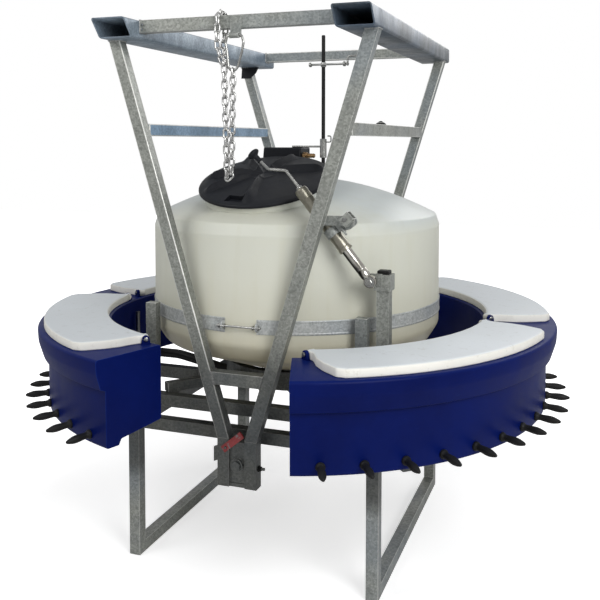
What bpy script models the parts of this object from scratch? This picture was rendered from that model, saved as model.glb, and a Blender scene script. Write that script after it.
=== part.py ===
# Multi-teat milk feeder: a round tank on a steel stand, two half-ring troughs with
# teats, and a levelling frame with fork sleeves above it.
# Metres, +Z up. The origin is on the ground below the tank's axis. The fork sleeves
# run along Y, and the front of the feeder faces -Y.

import math

import bmesh
import bpy
from mathutils import Matrix, Vector

# Fits between pieces
GAP = 0.0003
RUN_GAP = 0.0006

# Steel sections
TUBE = 0.050
PLATE = 0.008

# Stand
LEG_X = 0.525
LEG_Y = 0.573
RAIL_TOP = 0.610
ARM_TOP = 0.660
CRADLE_RAIL_TOP = 0.700
CRADLE_Y = LEG_Y - 0.043
UPRIGHT_X = LEG_X - 0.060
UPRIGHT_TOP = 1.090
POST_X = LEG_X + 0.025
POST_Y = -(LEG_Y - 0.048)
POST_TOP = 1.215
CAP_SIZE = 0.066
CAP_HEIGHT = 0.062
BUNG_HEIGHT = 0.020

# Tank
TANK_RADIUS = 0.655
TANK_WALL = 0.008
TANK_CROWN = 1.615
TANK_SHOULDER = 1.400
TANK_WALL_BOTTOM = 0.965
CONE_TOP_RADIUS = TANK_RADIUS - 0.065
DOME_RADIUS = TANK_RADIUS - 0.055
CONE_TOP = 0.885
NECK_RADIUS = 0.060
CONE_BOTTOM = 0.700
NECK_BOTTOM = 0.672
LID_CENTRE = (-0.030, -0.318, 1.599)
LID_TILT = math.radians(19.5)
LID_RADIUS = 0.288
LID_RIM = 0.020
LID_CROWN = 0.026
MANHOLE_WALL = 0.010
MANHOLE_CLEARANCE = 0.004

# Straps round the tank
BAND_HEIGHT = 0.060
BAND_THICK = 0.004
BAND_CENTRE_Z = 1.048
BAND_GAP_ANGLE = math.radians(6.0)
BAND_ROD_RADIUS = 0.005

# Support under the tank
RING_INNER = 0.290
RING_OUTER = 0.330
ARM_WIDTH = 0.040

# Troughs
TROUGH_INNER = 0.852
TROUGH_OUTER_LOW = 1.121
TROUGH_OUTER_TOP = TROUGH_OUTER_LOW + 0.048
TROUGH_KEEL = TROUGH_OUTER_LOW - 0.059
ARM_END = TROUGH_OUTER_LOW - 0.076
TROUGH_TOP = 0.985
TROUGH_STEP = 0.852
TROUGH_BOTTOM = 0.645
TROUGH_FLOOR_INNER = 0.692
TROUGH_FLOOR_OUTER = 0.667
TROUGH_WALL = 0.008
TROUGH_HALF_ANGLE = math.radians(71.3)
LID_MID_ANGLE = math.radians(35.5)
TEATS_PER_HALF = 18
TEAT_END_ANGLE = math.radians(66.0)
TEAT_Z = 0.680
TEAT_LENGTH = 0.100

# Trough lids
COVER_THICK = 0.034
COVER_INNER = 0.865
COVER_OUTER = TROUGH_OUTER_LOW + 0.019
COVER_HALF_ANGLE = math.radians(27.3)
HINGE_RADIUS = 0.885
HINGE_HALF_ANGLE = math.radians(32.5)
HINGE_Z = 1.005
HINGE_PIN_RADIUS = 0.006
HINGE_LUG_THICK = 0.014
HINGE_EAR_LENGTH = 0.030
HINGE_EAR_RADIUS = 0.015

# Levelling frame
SLEEVE_X = 0.495
SLEEVE_WIDTH = 0.150
SLEEVE_HEIGHT = 0.075
SLEEVE_WALL = 0.006
SLEEVE_FRONT = -0.818
SLEEVE_REAR = 0.775
SLEEVE_SLANT = 0.063
SLEEVE_BOTTOM = 2.189
END_Y = LEG_Y + 0.074 + TUBE / 2
V_TOP_X = 0.540
V_LOW_X = 0.0585
FOOT_TOP = 0.600
V_SLOPE = (V_TOP_X - V_LOW_X) / (SLEEVE_BOTTOM - FOOT_TOP)
FOOT_BOTTOM = 0.410
PIVOT_Z = 0.500
PIVOT_RADIUS = 0.012
RUNG_Z = SLEEVE_BOTTOM - 0.364
LATCH_PIVOT = (-0.044, 0.570)
LATCH_TIP = (0.026, 0.628)
TIE_Z = 0.840

# Levelling jack, in the vertical plane y = JACK_Y
JACK_EYE = (POST_X - 0.033, POST_TOP + 0.034)
JACK_AXIS = (-0.634, 0.773)
JACK_TUBE_RADIUS = 0.026
JACK_Y = -(END_Y - TUBE / 2 - 0.009 - JACK_TUBE_RADIUS)
JACK_TUBE_WALL = 0.003
JACK_TUBE_LOW = 0.147
JACK_TUBE_HIGH = 0.446
JACK_RAM_RADIUS = 0.020
JACK_RAM_HIGH = 0.340
JACK_SCREW_RADIUS = 0.008
CRANK_LOW = JACK_RAM_HIGH + 0.055
CRANK_REACH = 0.092
CRANK_THROW = 0.074
CRANK_RISE = 0.004
GRIP_STEP = (-0.032, 0.030)
CLAMP_AT = 0.2227
CLAMP_OFFSET = 0.0805
CLAMP_LENGTH = 0.060
CLAMP_WALL = 0.006
EYE_RADIUS = 0.024
EYE_BORE = 0.0145
EYE_PIN_RADIUS = 0.006
EYE_PIN_HEAD = 0.0085

# Stirring plunger
PLUNGER_X = 0.129
PLUNGER_Y = 0.000
PLUNGER_RADIUS = 0.0105
PLUNGER_TOP = 2.262
PLUNGER_LOW = 1.520
PLUNGER_BAR_Z = 2.128
BAR_RADIUS = 0.0045
GUIDE_Z = (1.703, 1.790)
BOX_LOW = (-0.156, -0.030, 1.605)
BOX_HIGH = (0.028, 0.110, 1.750)

# Milk lines
HOSE_RADIUS = 0.0225
SPIGOT_RADIUS = 0.016
SPIGOT_LENGTH = 0.067
TAP_X = 0.812
TAP_RADIUS = 0.024
TAP_STUD = 0.005
INLET_Z = 0.722
VALVE_Z = 0.640

# Chain and the ring that holds it
CHAIN_WIRE = 0.0041
CHAIN_INNER = 0.0300
CHAIN_PITCH = 0.0312
CHAIN_WIDTH = 0.028
CHAIN_X = -0.067
HOOK_WIRE = 0.005
HOOK_LOW = (-0.002, -(END_Y + TUBE / 2 + 0.0155), SLEEVE_BOTTOM - 0.139)
HOOK_TOP = SLEEVE_BOTTOM - 0.005


# Scene and materials

def clear_scene():
    for item in list(bpy.data.objects):
        bpy.data.objects.remove(item, do_unlink=True)


def make_collection(name):
    found = bpy.data.collections.get(name)
    if found is None:
        found = bpy.data.collections.new(name)
        bpy.context.scene.collection.children.link(found)
    return found


def make_material(name, colour, roughness, metallic):
    mat = bpy.data.materials.new(name)
    mat.use_nodes = True
    shader = mat.node_tree.nodes["Principled BSDF"]
    shader.inputs["Base Color"].default_value = (*colour, 1.0)
    shader.inputs["Roughness"].default_value = roughness
    shader.inputs["Metallic"].default_value = metallic
    mat.diffuse_color = (*colour, 1.0)
    return mat


clear_scene()
PARTS = make_collection("milk_feeder")
CUTTERS = make_collection("cutters")

GALVANISED = make_material("galvanised", (0.46, 0.48, 0.49), 0.45, 0.9)
ZINC = make_material("zinc", (0.70, 0.71, 0.70), 0.30, 1.0)
TANK_PLASTIC = make_material("tank_plastic", (0.80, 0.80, 0.72), 0.40, 0.0)
BLUE_PLASTIC = make_material("blue_plastic", (0.015, 0.05, 0.30), 0.38, 0.0)
WHITE_PLASTIC = make_material("white_plastic", (0.78, 0.79, 0.80), 0.50, 0.0)
BLACK_PLASTIC = make_material("black_plastic", (0.02, 0.02, 0.025), 0.55, 0.0)
RUBBER = make_material("rubber", (0.012, 0.012, 0.012), 0.60, 0.0)
BRASS = make_material("brass", (0.55, 0.32, 0.14), 0.35, 1.0)
RED_PAINT = make_material("red_paint", (0.60, 0.06, 0.05), 0.45, 0.0)


# Building blocks

def add_object(name, mesh, mat=None, cutter=False):
    item = bpy.data.objects.new(name, mesh)
    (CUTTERS if cutter else PARTS).objects.link(item)
    if mat is not None:
        mesh.materials.clear()
        mesh.materials.append(mat)
    if cutter:
        item.hide_render = True
        item.display_type = "WIRE"
    return item


def mesh_from(shape, name):
    bmesh.ops.recalc_face_normals(shape, faces=shape.faces)
    if shape.calc_volume(signed=True) < 0:
        bmesh.ops.reverse_faces(shape, faces=shape.faces)
    mesh = bpy.data.meshes.new(name)
    shape.to_mesh(mesh)
    shape.free()
    return mesh


def bevelled(item, width, segments=1):
    bevel = item.modifiers.new("bevel", "BEVEL")
    bevel.width = width
    bevel.segments = segments
    bevel.limit_method = "ANGLE"
    bevel.angle_limit = math.radians(40)
    return item


def box(name, low, high, mat=None, bevel=0.0, cutter=False, move=None):
    shape = bmesh.new()
    bmesh.ops.create_cube(shape, size=1.0)
    low, high = Vector(low), Vector(high)
    for vert in shape.verts:
        for axis in range(3):
            vert.co[axis] = low[axis] if vert.co[axis] < 0 else high[axis]
        if move is not None:
            vert.co = Vector(move(vert.co))
    item = add_object(name, mesh_from(shape, name), mat, cutter)
    if bevel:
        bevelled(item, bevel)
    return item


def rod(name, start, end, radius, mat=None, sides=16, cutter=False, end_radius=None):
    start, end = Vector(start), Vector(end)
    along = end - start
    shape = bmesh.new()
    bmesh.ops.create_cone(
        shape, cap_ends=True, segments=sides, radius1=radius,
        radius2=radius if end_radius is None else end_radius, depth=along.length)
    turn = along.to_track_quat("Z", "Y").to_matrix().to_4x4()
    shape.transform(Matrix.Translation((start + end) / 2) @ turn)
    return add_object(name, mesh_from(shape, name), mat, cutter)


def turned(name, profile, mat=None, steps=32, cutter=False, place=None):
    # The profile holds (radius, height) pairs from the top of the axis to its bottom.
    mesh = bpy.data.meshes.new(name)
    points = [(radius, 0.0, height) for radius, height in profile]
    edges = [(index, index + 1) for index in range(len(points) - 1)]
    closed = profile[0][0] > 0
    if closed:
        edges.append((len(points) - 1, 0))
    mesh.from_pydata(points, edges, [])
    item = add_object(name, mesh, mat, cutter)
    screw = item.modifiers.new("turn", "SCREW")
    screw.angle = math.tau
    screw.steps = steps
    screw.render_steps = steps
    screw.use_merge_vertices = True
    screw.merge_threshold = 0.0001
    if place is not None:
        item.matrix_world = place
    return item


def swept_sector(name, profile, start, end, steps, mat=None, cutter=False):
    shape = bmesh.new()
    verts = [
        shape.verts.new((radius * math.cos(start), radius * math.sin(start), height))
        for radius, height in profile]
    face = shape.faces.new(verts)
    bmesh.ops.spin(
        shape, geom=[face], cent=(0, 0, 0), axis=(0, 0, 1), angle=end - start,
        steps=steps, use_duplicate=False)
    return add_object(name, mesh_from(shape, name), mat, cutter)


def slab(name, outline, low, high, mat=None, cutter=False):
    # A flat outline of (x, y) points between two heights.
    shape = bmesh.new()
    face = shape.faces.new([shape.verts.new((x, y, low)) for x, y in outline])
    grown = bmesh.ops.extrude_face_region(shape, geom=[face])
    lifted = [part for part in grown["geom"] if isinstance(part, bmesh.types.BMVert)]
    bmesh.ops.translate(shape, verts=lifted, vec=(0, 0, high - low))
    return add_object(name, mesh_from(shape, name), mat, cutter)


def rounded_path(points, radius, steps=4):
    # Corner points of a bent rod, each replaced by an arc of the given radius.
    points = [Vector(point) for point in points]
    path = [points[0]]
    for before, corner, after in zip(points, points[1:], points[2:]):
        back = (before - corner).normalized()
        ahead = (after - corner).normalized()
        half = back.angle(ahead) / 2
        reach = radius / math.tan(half)
        middle = corner + (back + ahead).normalized() * (radius / math.sin(half))
        first = corner + back * reach - middle
        last = corner + ahead * reach - middle
        sweep = first.angle(last)
        for step in range(steps + 1):
            share = step / steps
            weight_a = math.sin((1 - share) * sweep) / math.sin(sweep)
            weight_b = math.sin(share * sweep) / math.sin(sweep)
            path.append(middle + first * weight_a + last * weight_b)
    path.append(points[-1])
    return path


def wire(name, points, radius, mat=None, resolution=2, cyclic=False):
    curve = bpy.data.curves.new(name, "CURVE")
    curve.dimensions = "3D"
    curve.bevel_depth = radius
    curve.bevel_resolution = resolution
    curve.use_fill_caps = not cyclic
    spline = curve.splines.new("POLY")
    spline.points.add(len(points) - 1)
    spline.use_cyclic_u = cyclic
    for point, place in zip(spline.points, points):
        point.co = (*place, 1.0)
    return add_object(name, curve, mat)


def wire_mesh(name, points, radius, mat=None, resolution=2, cyclic=False, cutter=False):
    # The same rod as a closed mesh, which a Boolean can use.
    bent = wire(name + "_curve", points, radius, None, resolution, cyclic)
    bpy.context.view_layer.update()
    seen = bent.evaluated_get(bpy.context.evaluated_depsgraph_get())
    mesh = bpy.data.meshes.new_from_object(seen)
    mesh.name = name
    place = bent.matrix_world.copy()
    bpy.data.objects.remove(bent, do_unlink=True)
    shape = bmesh.new()
    shape.from_mesh(mesh)
    bmesh.ops.remove_doubles(shape, verts=shape.verts, dist=0.00001)
    shape.to_mesh(mesh)
    shape.free()
    item = add_object(name, mesh, mat, cutter)
    item.matrix_world = place
    return item


def combine(target, tools, operation):
    for tool in tools:
        if tool.name in PARTS.objects:
            PARTS.objects.unlink(tool)
            CUTTERS.objects.link(tool)
            tool.hide_render = True
            tool.display_type = "WIRE"
        step = target.modifiers.new(operation.lower(), "BOOLEAN")
        step.operation = operation
        step.solver = "EXACT"
        step.object = tool
    return target


def join(target, *tools):
    return combine(target, tools, "UNION")


def cut(target, *tools):
    return combine(target, tools, "DIFFERENCE")


def smooth(item):
    if item.type == "MESH":
        item.data.shade_smooth()
        item.data.set_sharp_from_angle(angle=math.radians(35))
    return item


def joint_empty(name, place, parent=None):
    empty = bpy.data.objects.new(name, None)
    PARTS.objects.link(empty)
    empty.empty_display_size = 0.05
    empty.location = place
    if parent is not None:
        attach([empty], parent)
    return empty


def attach(items, parent):
    bpy.context.view_layer.update()
    for item in items:
        item.parent = parent
        item.matrix_parent_inverse = parent.matrix_world.inverted()


# Stand

def floor_height(radius):
    # Height of the trough's underside above the ground at a radius.
    slope = (TROUGH_FLOOR_OUTER - TROUGH_FLOOR_INNER) / (TROUGH_KEEL - 0.012 - TROUGH_INNER)
    return TROUGH_FLOOR_INNER + slope * (radius - TROUGH_INNER)


def trough_arm(name, angle, start, end):
    # A radial bar, and a wedge on it whose sloping top carries the trough's underside.
    half = TUBE / 2
    aim = Vector((math.cos(angle), math.sin(angle)))
    side = Vector((-aim.y, aim.x))

    def turn_flat(point):
        flat = aim * point.x + side * point.y
        return (flat.x, flat.y, point.z)

    def slope(point):
        flat = aim * point.x + side * point.y
        height = point.z if point.z < ARM_TOP else floor_height(point.x) - 0.0005
        return (flat.x, flat.y, height)

    bar = box(name, (start, -half, RAIL_TOP - 0.006), (end, half, ARM_TOP), move=turn_flat)
    wedge = box(name + "_wedge", (TROUGH_INNER + 0.010, -half + 0.004, ARM_TOP - 0.004),
                (end - 0.001, half - 0.004, ARM_TOP + 0.1), move=slope)
    return [bar, wedge]


def side_frame(side, sign):
    half = TUBE / 2
    name = f"side_frame_{side}"
    inner, outer = sorted((sign * (LEG_X - half), sign * (LEG_X + half)))
    end = LEG_Y + half
    frame = box(name, (inner, -end, 0), (outer, end, TUBE), GALVANISED)
    rail = box(name + "_rail", (inner, -end, RAIL_TOP - TUBE), (outer, end, RAIL_TOP))
    legs = [
        box(f"{name}_leg_{index}", (inner, y - half, TUBE / 2),
            (outer, y + half, RAIL_TOP - TUBE / 2))
        for index, y in enumerate((-LEG_Y, LEG_Y))]
    corner = math.atan2(LEG_Y, LEG_X)
    corner_start = math.hypot(LEG_X, LEG_Y) - 0.003
    facing = 0.0 if sign > 0 else math.pi
    arms = trough_arm(f"{name}_arm_mid", facing, LEG_X - half + 0.001, ARM_END)
    arms += trough_arm(f"{name}_arm_front", -corner if sign > 0 else math.pi + corner,
                       corner_start, ARM_END)
    arms += trough_arm(f"{name}_arm_rear", corner if sign > 0 else math.pi - corner,
                       corner_start, ARM_END)
    return join(frame, rail, *legs, *arms)


def cross_rail(end, sign):
    # The low rail between the side frames, with the boss that carries the pivot pin.
    half = TUBE / 2
    inner = LEG_X - half - GAP
    name = f"{end}_rail"
    rail = box(name, (-inner, sign * LEG_Y - half, RAIL_TOP - TUBE),
               (inner, sign * LEG_Y + half, RAIL_TOP), GALVANISED)
    low, high = sorted((sign * (LEG_Y - 0.010), sign * (LEG_Y + 0.010)))
    plate = box(name + "_plate", (-0.040, low, PIVOT_Z - 0.045),
                (0.040, high, RAIL_TOP - TUBE + 0.005))
    boss_end = sign * (END_Y - half - RUN_GAP)
    boss = rod(name + "_boss", (0, sign * (LEG_Y - 0.018), PIVOT_Z), (0, boss_end, PIVOT_Z),
               0.024, sides=16)
    bore = rod(name + "_bore", (0, sign * (LEG_Y - 0.05), PIVOT_Z),
               (0, sign * (END_Y + 0.05), PIVOT_Z), PIVOT_RADIUS + GAP, sides=16, cutter=True)
    return cut(join(rail, plate, boss), bore)


def cradle_frame(end, sign):
    # The high rail with its end plates, and the two uprights that steady the tank.
    half = TUBE / 2
    name = f"cradle_{end}"
    y = sign * CRADLE_Y
    inner = LEG_X - half - GAP
    frame = box(name, (-inner + 0.004, y - half, CRADLE_RAIL_TOP - TUBE),
                (inner - 0.004, y + half, CRADLE_RAIL_TOP), GALVANISED)
    pieces = []
    for side in (-1, 1):
        low, high = sorted((side * inner, side * (inner - 0.010)))
        near, far = sorted((sign * (CRADLE_Y - half), sign * (LEG_Y - half - GAP)))
        pieces.append(box(f"{name}_plate_{side}", (low, near, RAIL_TOP - TUBE),
                          (high, far, CRADLE_RAIL_TOP - 0.001)))
        low, high = sorted((side * (UPRIGHT_X - half), side * (UPRIGHT_X + half - 0.002)))
        pieces.append(box(f"{name}_upright_{side}", (low, y - 0.020, CRADLE_RAIL_TOP - 0.02),
                          (high, y + 0.020, UPRIGHT_TOP)))
    return join(frame, *pieces)


def cradle_arm(name, angle):
    aim = Vector((math.cos(angle), math.sin(angle)))
    side = Vector((-aim.y, aim.x))

    def place(point):
        flat = aim * point.x + side * point.y
        return (flat.x, flat.y, point.z)

    return box(name, (RING_OUTER, -ARM_WIDTH / 2, CRADLE_RAIL_TOP + GAP),
               (0.658, ARM_WIDTH / 2, CRADLE_RAIL_TOP + ARM_WIDTH), GALVANISED,
               move=place)


def cone_height(radius):
    share = (radius - NECK_RADIUS) / (CONE_TOP_RADIUS - NECK_RADIUS)
    return CONE_BOTTOM + share * (CONE_TOP - CONE_BOTTOM)


def build_stand():
    items = [side_frame("left", -1), side_frame("right", 1)]
    items += [cross_rail("front", -1), cross_rail("rear", 1)]
    items += [cradle_frame("front", -1), cradle_frame("rear", 1)]
    aim = math.atan2(CRADLE_Y, UPRIGHT_X - 0.035)
    for name, angle in (("front_right", -aim), ("rear_right", aim),
                        ("rear_left", math.pi - aim), ("front_left", math.pi + aim)):
        items.append(cradle_arm(f"cradle_arm_{name}", angle))
    top = cone_height(RING_INNER) - 0.0005
    low = CRADLE_RAIL_TOP + GAP
    items.append(turned("cradle_ring", [
        (RING_OUTER, top), (RING_OUTER, low), (RING_INNER, low), (RING_INNER, top)],
        GALVANISED, steps=36))
    items += build_post()
    return items


def build_post():
    half = TUBE / 2
    post = box("jack_post", (POST_X - half, POST_Y - half, RAIL_TOP + GAP),
               (POST_X + half, POST_Y + half, POST_TOP), GALVANISED)
    cap = CAP_SIZE / 2
    sleeve = box("post_sleeve", (POST_X - cap, POST_Y - cap, POST_TOP - 0.010),
                 (POST_X + cap, POST_Y + cap, POST_TOP - 0.010 + CAP_HEIGHT))
    face = POST_Y - cap
    lug = box("post_lug", (JACK_EYE[0] - 0.018, face - 0.010, JACK_EYE[1] - 0.022),
              (POST_X, face + 0.005, JACK_EYE[1] + 0.022))
    eye_x, eye_z = JACK_EYE
    pin = rod("post_pin", (eye_x, face - 0.005, eye_z), (eye_x, JACK_Y - 0.016, eye_z),
              EYE_PIN_RADIUS, sides=12)
    head = rod("post_pin_head", (eye_x, JACK_Y - 0.0145, eye_z),
               (eye_x, JACK_Y - 0.020, eye_z), EYE_PIN_HEAD, sides=6)
    join(post, sleeve, lug, pin, head)
    bung_low = POST_TOP - 0.010 + CAP_HEIGHT + GAP
    bung = bevelled(box("post_bung", (POST_X - 0.022, POST_Y - 0.022, bung_low),
                        (POST_X + 0.022, POST_Y + 0.022, bung_low + BUNG_HEIGHT),
                        RUBBER), 0.004)
    return [post, bung]


# Tank, straps and lid

def dome_height(radius):
    return TANK_CROWN - 0.40 * radius ** 2


def tank_profile(inset):
    # Outer line of the tank from crown to neck, moved inwards by the wall.
    radius = TANK_RADIUS - inset
    shoulder = 0.055 - inset
    low = 0.085 - inset
    points = [(0.0, TANK_CROWN - inset)]
    points += [(share * DOME_RADIUS, dome_height(share * DOME_RADIUS) - inset) for share in
               (0.25, 0.5, 0.75, 1.0)]
    top_z = TANK_SHOULDER
    centre = radius - shoulder
    for degrees in (50, 25, 0):
        turn = math.radians(degrees)
        points.append((centre + shoulder * math.cos(turn), top_z + shoulder * math.sin(turn)))
    centre = radius - low
    for degrees in (0, -25, -50):
        turn = math.radians(degrees)
        points.append((centre + low * math.cos(turn),
                       TANK_WALL_BOTTOM + low * math.sin(turn)))
    points.append((CONE_TOP_RADIUS - inset * 0.5, CONE_TOP + inset))
    points.append((NECK_RADIUS - inset, CONE_BOTTOM + inset * 0.6))
    return points


def lid_place(along=0.0):
    turn = Matrix.Rotation(LID_TILT, 4, "X")
    centre = Vector(LID_CENTRE) + turn.to_3x3() @ Vector((0, 0, along))
    return Matrix.Translation(centre) @ turn


def build_tank():
    outer = tank_profile(0.0) + [(NECK_RADIUS, NECK_BOTTOM), (0.0, NECK_BOTTOM)]
    tank = turned("tank", outer, TANK_PLASTIC, steps=36)
    neck_outer = LID_RADIUS - 0.012 - MANHOLE_CLEARANCE
    neck_bore = neck_outer - MANHOLE_WALL
    neck = turned("tank_manhole", [(0, -GAP), (neck_outer, -GAP), (neck_outer, -0.16), (0, -0.16)],
                  steps=36, place=lid_place())
    hollow = turned("tank_hollow", tank_profile(TANK_WALL)
                    + [(NECK_RADIUS - TANK_WALL, NECK_BOTTOM - 0.01), (0, NECK_BOTTOM - 0.01)],
                    steps=36, cutter=True)
    bore = turned("tank_manhole_bore", [(0, 0.05), (neck_bore, 0.05), (neck_bore, -0.22), (0, -0.22)],
                  steps=36, cutter=True, place=lid_place())
    rod_hole = rod("tank_rod_hole", (PLUNGER_X, PLUNGER_Y, 1.50), (PLUNGER_X, PLUNGER_Y, 1.66),
                   PLUNGER_RADIUS + 0.003, sides=16, cutter=True)
    join(tank, neck)
    cut(tank, hollow, bore, rod_hole)

    lid = turned("tank_lid", [
        (0.0, LID_RIM + LID_CROWN), (0.10, LID_RIM + LID_CROWN - 0.003),
        (0.20, LID_RIM + 0.014), (LID_RADIUS - 0.016, LID_RIM + 0.003),
        (LID_RADIUS - 0.004, LID_RIM - 0.004), (LID_RADIUS, LID_RIM - 0.012),
        (LID_RADIUS, -0.018), (LID_RADIUS - 0.010, -0.018), (LID_RADIUS - 0.010, GAP),
        (0.0, GAP)], BLACK_PLASTIC, steps=36, place=lid_place())
    ribs = []
    for index, degrees in enumerate((20, 75, 130, 200, 255, 310)):
        turn = math.radians(degrees)
        rib = box(f"lid_rib_{index}", (0.055, -0.014, 0.020), (LID_RADIUS - 0.030, 0.014, 0.040),
                  move=lambda point: (point.x, point.y * (0.6 if point.z > 0.03 else 1.0),
                                      point.z if point.x > 0.1 or point.z < 0.03
                                      else point.z + 0.014))
        rib.matrix_world = lid_place() @ Matrix.Rotation(turn, 4, "Z")
        ribs.append(rib)
    grip = box("lid_grip_recess", (-0.040, -LID_RADIUS + 0.040, 0.016),
               (0.040, -LID_RADIUS + 0.085, 0.08), cutter=True)
    grip.matrix_world = lid_place()
    join(lid, *ribs)
    cut(lid, grip)
    return [tank], [lid]


def build_head():
    # The inlet box on the crown, its hose tail, and the guide that carries the plunger.
    house = box("inlet_box", BOX_LOW, BOX_HIGH, BLACK_PLASTIC,
                move=lambda point: (point.x * (1.12 if point.z < 1.7 and point.x < 0 else 1.0),
                                    point.y, point.z))
    seat = [(0.0, TANK_CROWN + GAP)]
    seat += [(share * DOME_RADIUS, dome_height(share * DOME_RADIUS) + GAP)
             for share in (0.25, 0.5, 0.75)]
    skin = turned("inlet_box_seat", seat + [(0.45, 1.40), (0.0, 1.40)], steps=36, cutter=True)
    cut(house, skin)
    tail_z = 1.712
    tail = turned("inlet_fitting", [
        (0.0, 0.060), (0.009, 0.060), (0.011, 0.048), (0.009, 0.044), (0.011, 0.032),
        (0.013, 0.030), (0.016, 0.018), (0.016, 0.004), (0.010, 0.004), (0.010, GAP),
        (0.0, GAP)], BRASS, steps=12,
        place=Matrix.Translation((BOX_HIGH[0], 0.0, tail_z))
        @ Matrix.Rotation(math.radians(90), 4, "Y"))
    low, high = GUIDE_Z
    guide = rod("rod_guide", (PLUNGER_X, PLUNGER_Y, low), (PLUNGER_X, PLUNGER_Y, high),
                0.0155, ZINC, sides=16)
    arm = rod("rod_guide_arm", (BOX_HIGH[0] - 0.05, 0.0, BOX_HIGH[2] + 0.0045),
              (PLUNGER_X, PLUNGER_Y, BOX_HIGH[2] + 0.0045), 0.004, sides=8)
    bore = rod("rod_guide_bore", (PLUNGER_X, PLUNGER_Y, low - 0.02),
               (PLUNGER_X, PLUNGER_Y, high + 0.02), PLUNGER_RADIUS + 0.0005, sides=16, cutter=True)
    cut(join(guide, arm), bore)
    return [house, tail, guide]


def build_plunger():
    shaft = rod("plunger_rod", (PLUNGER_X, PLUNGER_Y, PLUNGER_LOW),
                (PLUNGER_X, PLUNGER_Y, PLUNGER_TOP), PLUNGER_RADIUS, BLACK_PLASTIC, sides=16)
    disc = rod("plunger_disc", (PLUNGER_X, PLUNGER_Y, PLUNGER_LOW - 0.010),
               (PLUNGER_X, PLUNGER_Y, PLUNGER_LOW + 0.002), 0.055, sides=20)
    join(shaft, disc)
    bar_y = PLUNGER_Y - PLUNGER_RADIUS - BAR_RADIUS - GAP
    raised = PLUNGER_BAR_Z + 0.034
    path = rounded_path([(0.072, bar_y, PLUNGER_BAR_Z), (0.249, bar_y, PLUNGER_BAR_Z),
                         (0.249, bar_y, raised), (0.305, bar_y, raised)], 0.010, steps=2)
    bar = wire_mesh("plunger_bar", path, BAR_RADIUS, ZINC, resolution=1)
    knobs = [rod(f"plunger_bar_end_{x}", (x - 0.0055, bar_y, PLUNGER_BAR_Z),
                 (x + 0.0055, bar_y, PLUNGER_BAR_Z), 0.009, sides=8) for x in (0.0715, 0.234)]
    join(bar, *knobs)
    return [shaft, bar]


def band(side, sign):
    # One half strap: it starts beside the front tension rod and ends beside the rear one.
    inner = (TANK_RADIUS + GAP) / math.cos(math.radians(3.9))
    outer = inner + BAND_THICK
    low = BAND_CENTRE_Z - BAND_HEIGHT / 2
    high = BAND_CENTRE_Z + BAND_HEIGHT / 2
    front = -math.pi / 2 + sign * BAND_GAP_ANGLE
    rear = math.pi / 2 - sign * BAND_GAP_ANGLE
    if sign < 0:
        front, rear = front, rear - math.tau
    strap = swept_sector(f"band_{side}", [(inner, low), (outer, low), (outer, high), (inner, high)],
                         front, rear, 22, GALVANISED)
    ears = []
    for index, angle in enumerate((front, rear)):
        centre = Vector((math.cos(angle), math.sin(angle)))
        inward = 1 if index == 0 else -1
        side_way = Vector((-centre.y, centre.x)) * inward * sign

        def place(point, centre=centre, side_way=side_way):
            flat = centre * point.x + side_way * point.y
            return (flat.x, flat.y, point.z)

        ears.append(box(f"band_{side}_ear_{index}", (inner + 0.001, 0.0, BAND_CENTRE_Z - 0.018),
                        (inner + 0.030, 0.006, BAND_CENTRE_Z + 0.018), move=place))
    holes = [rod(f"band_{side}_hole_{index}", (-0.2, y, BAND_CENTRE_Z), (0.2, y, BAND_CENTRE_Z),
                 BAND_ROD_RADIUS + GAP, sides=12, cutter=True)
             for index, y in enumerate((-(inner + 0.017), inner + 0.017))]
    return cut(join(strap, *ears), *holes)


def band_rod(end, sign):
    inner = (TANK_RADIUS + GAP) / math.cos(math.radians(3.9))
    y = sign * (inner + 0.017)
    half = (inner + 0.03) * math.sin(BAND_GAP_ANGLE) + 0.022
    item = rod(f"band_rod_{end}", (-half, y, BAND_CENTRE_Z), (half, y, BAND_CENTRE_Z),
               BAND_ROD_RADIUS, ZINC, sides=12)
    nut_at = (inner + 0.030) * math.sin(BAND_GAP_ANGLE) + 0.0085
    nuts = [rod(f"band_nut_{end}_{side}", (side * nut_at, y, BAND_CENTRE_Z),
                (side * (nut_at + 0.007), y, BAND_CENTRE_Z), 0.0095, sides=6)
            for side in (-1, 1)]
    return join(item, *nuts)


# Troughs

def trough_profile():
    top = TROUGH_TOP
    return [
        (TROUGH_INNER, TROUGH_FLOOR_INNER + 0.006), (TROUGH_INNER + 0.006, TROUGH_FLOOR_INNER),
        (TROUGH_KEEL - 0.012, TROUGH_FLOOR_OUTER), (TROUGH_KEEL, TROUGH_BOTTOM),
        (TROUGH_OUTER_LOW - 0.010, TROUGH_BOTTOM),
        (TROUGH_OUTER_LOW, TROUGH_BOTTOM + 0.012), (TROUGH_OUTER_LOW, TROUGH_STEP),
        (TROUGH_OUTER_TOP - 0.012, TROUGH_STEP + 0.054),
        (TROUGH_OUTER_TOP, TROUGH_STEP + 0.092), (TROUGH_OUTER_TOP - 0.002, top - 0.014),
        (TROUGH_OUTER_TOP - 0.016, top),
        (TROUGH_INNER + 0.006, top), (TROUGH_INNER, top - 0.006)]


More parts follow.
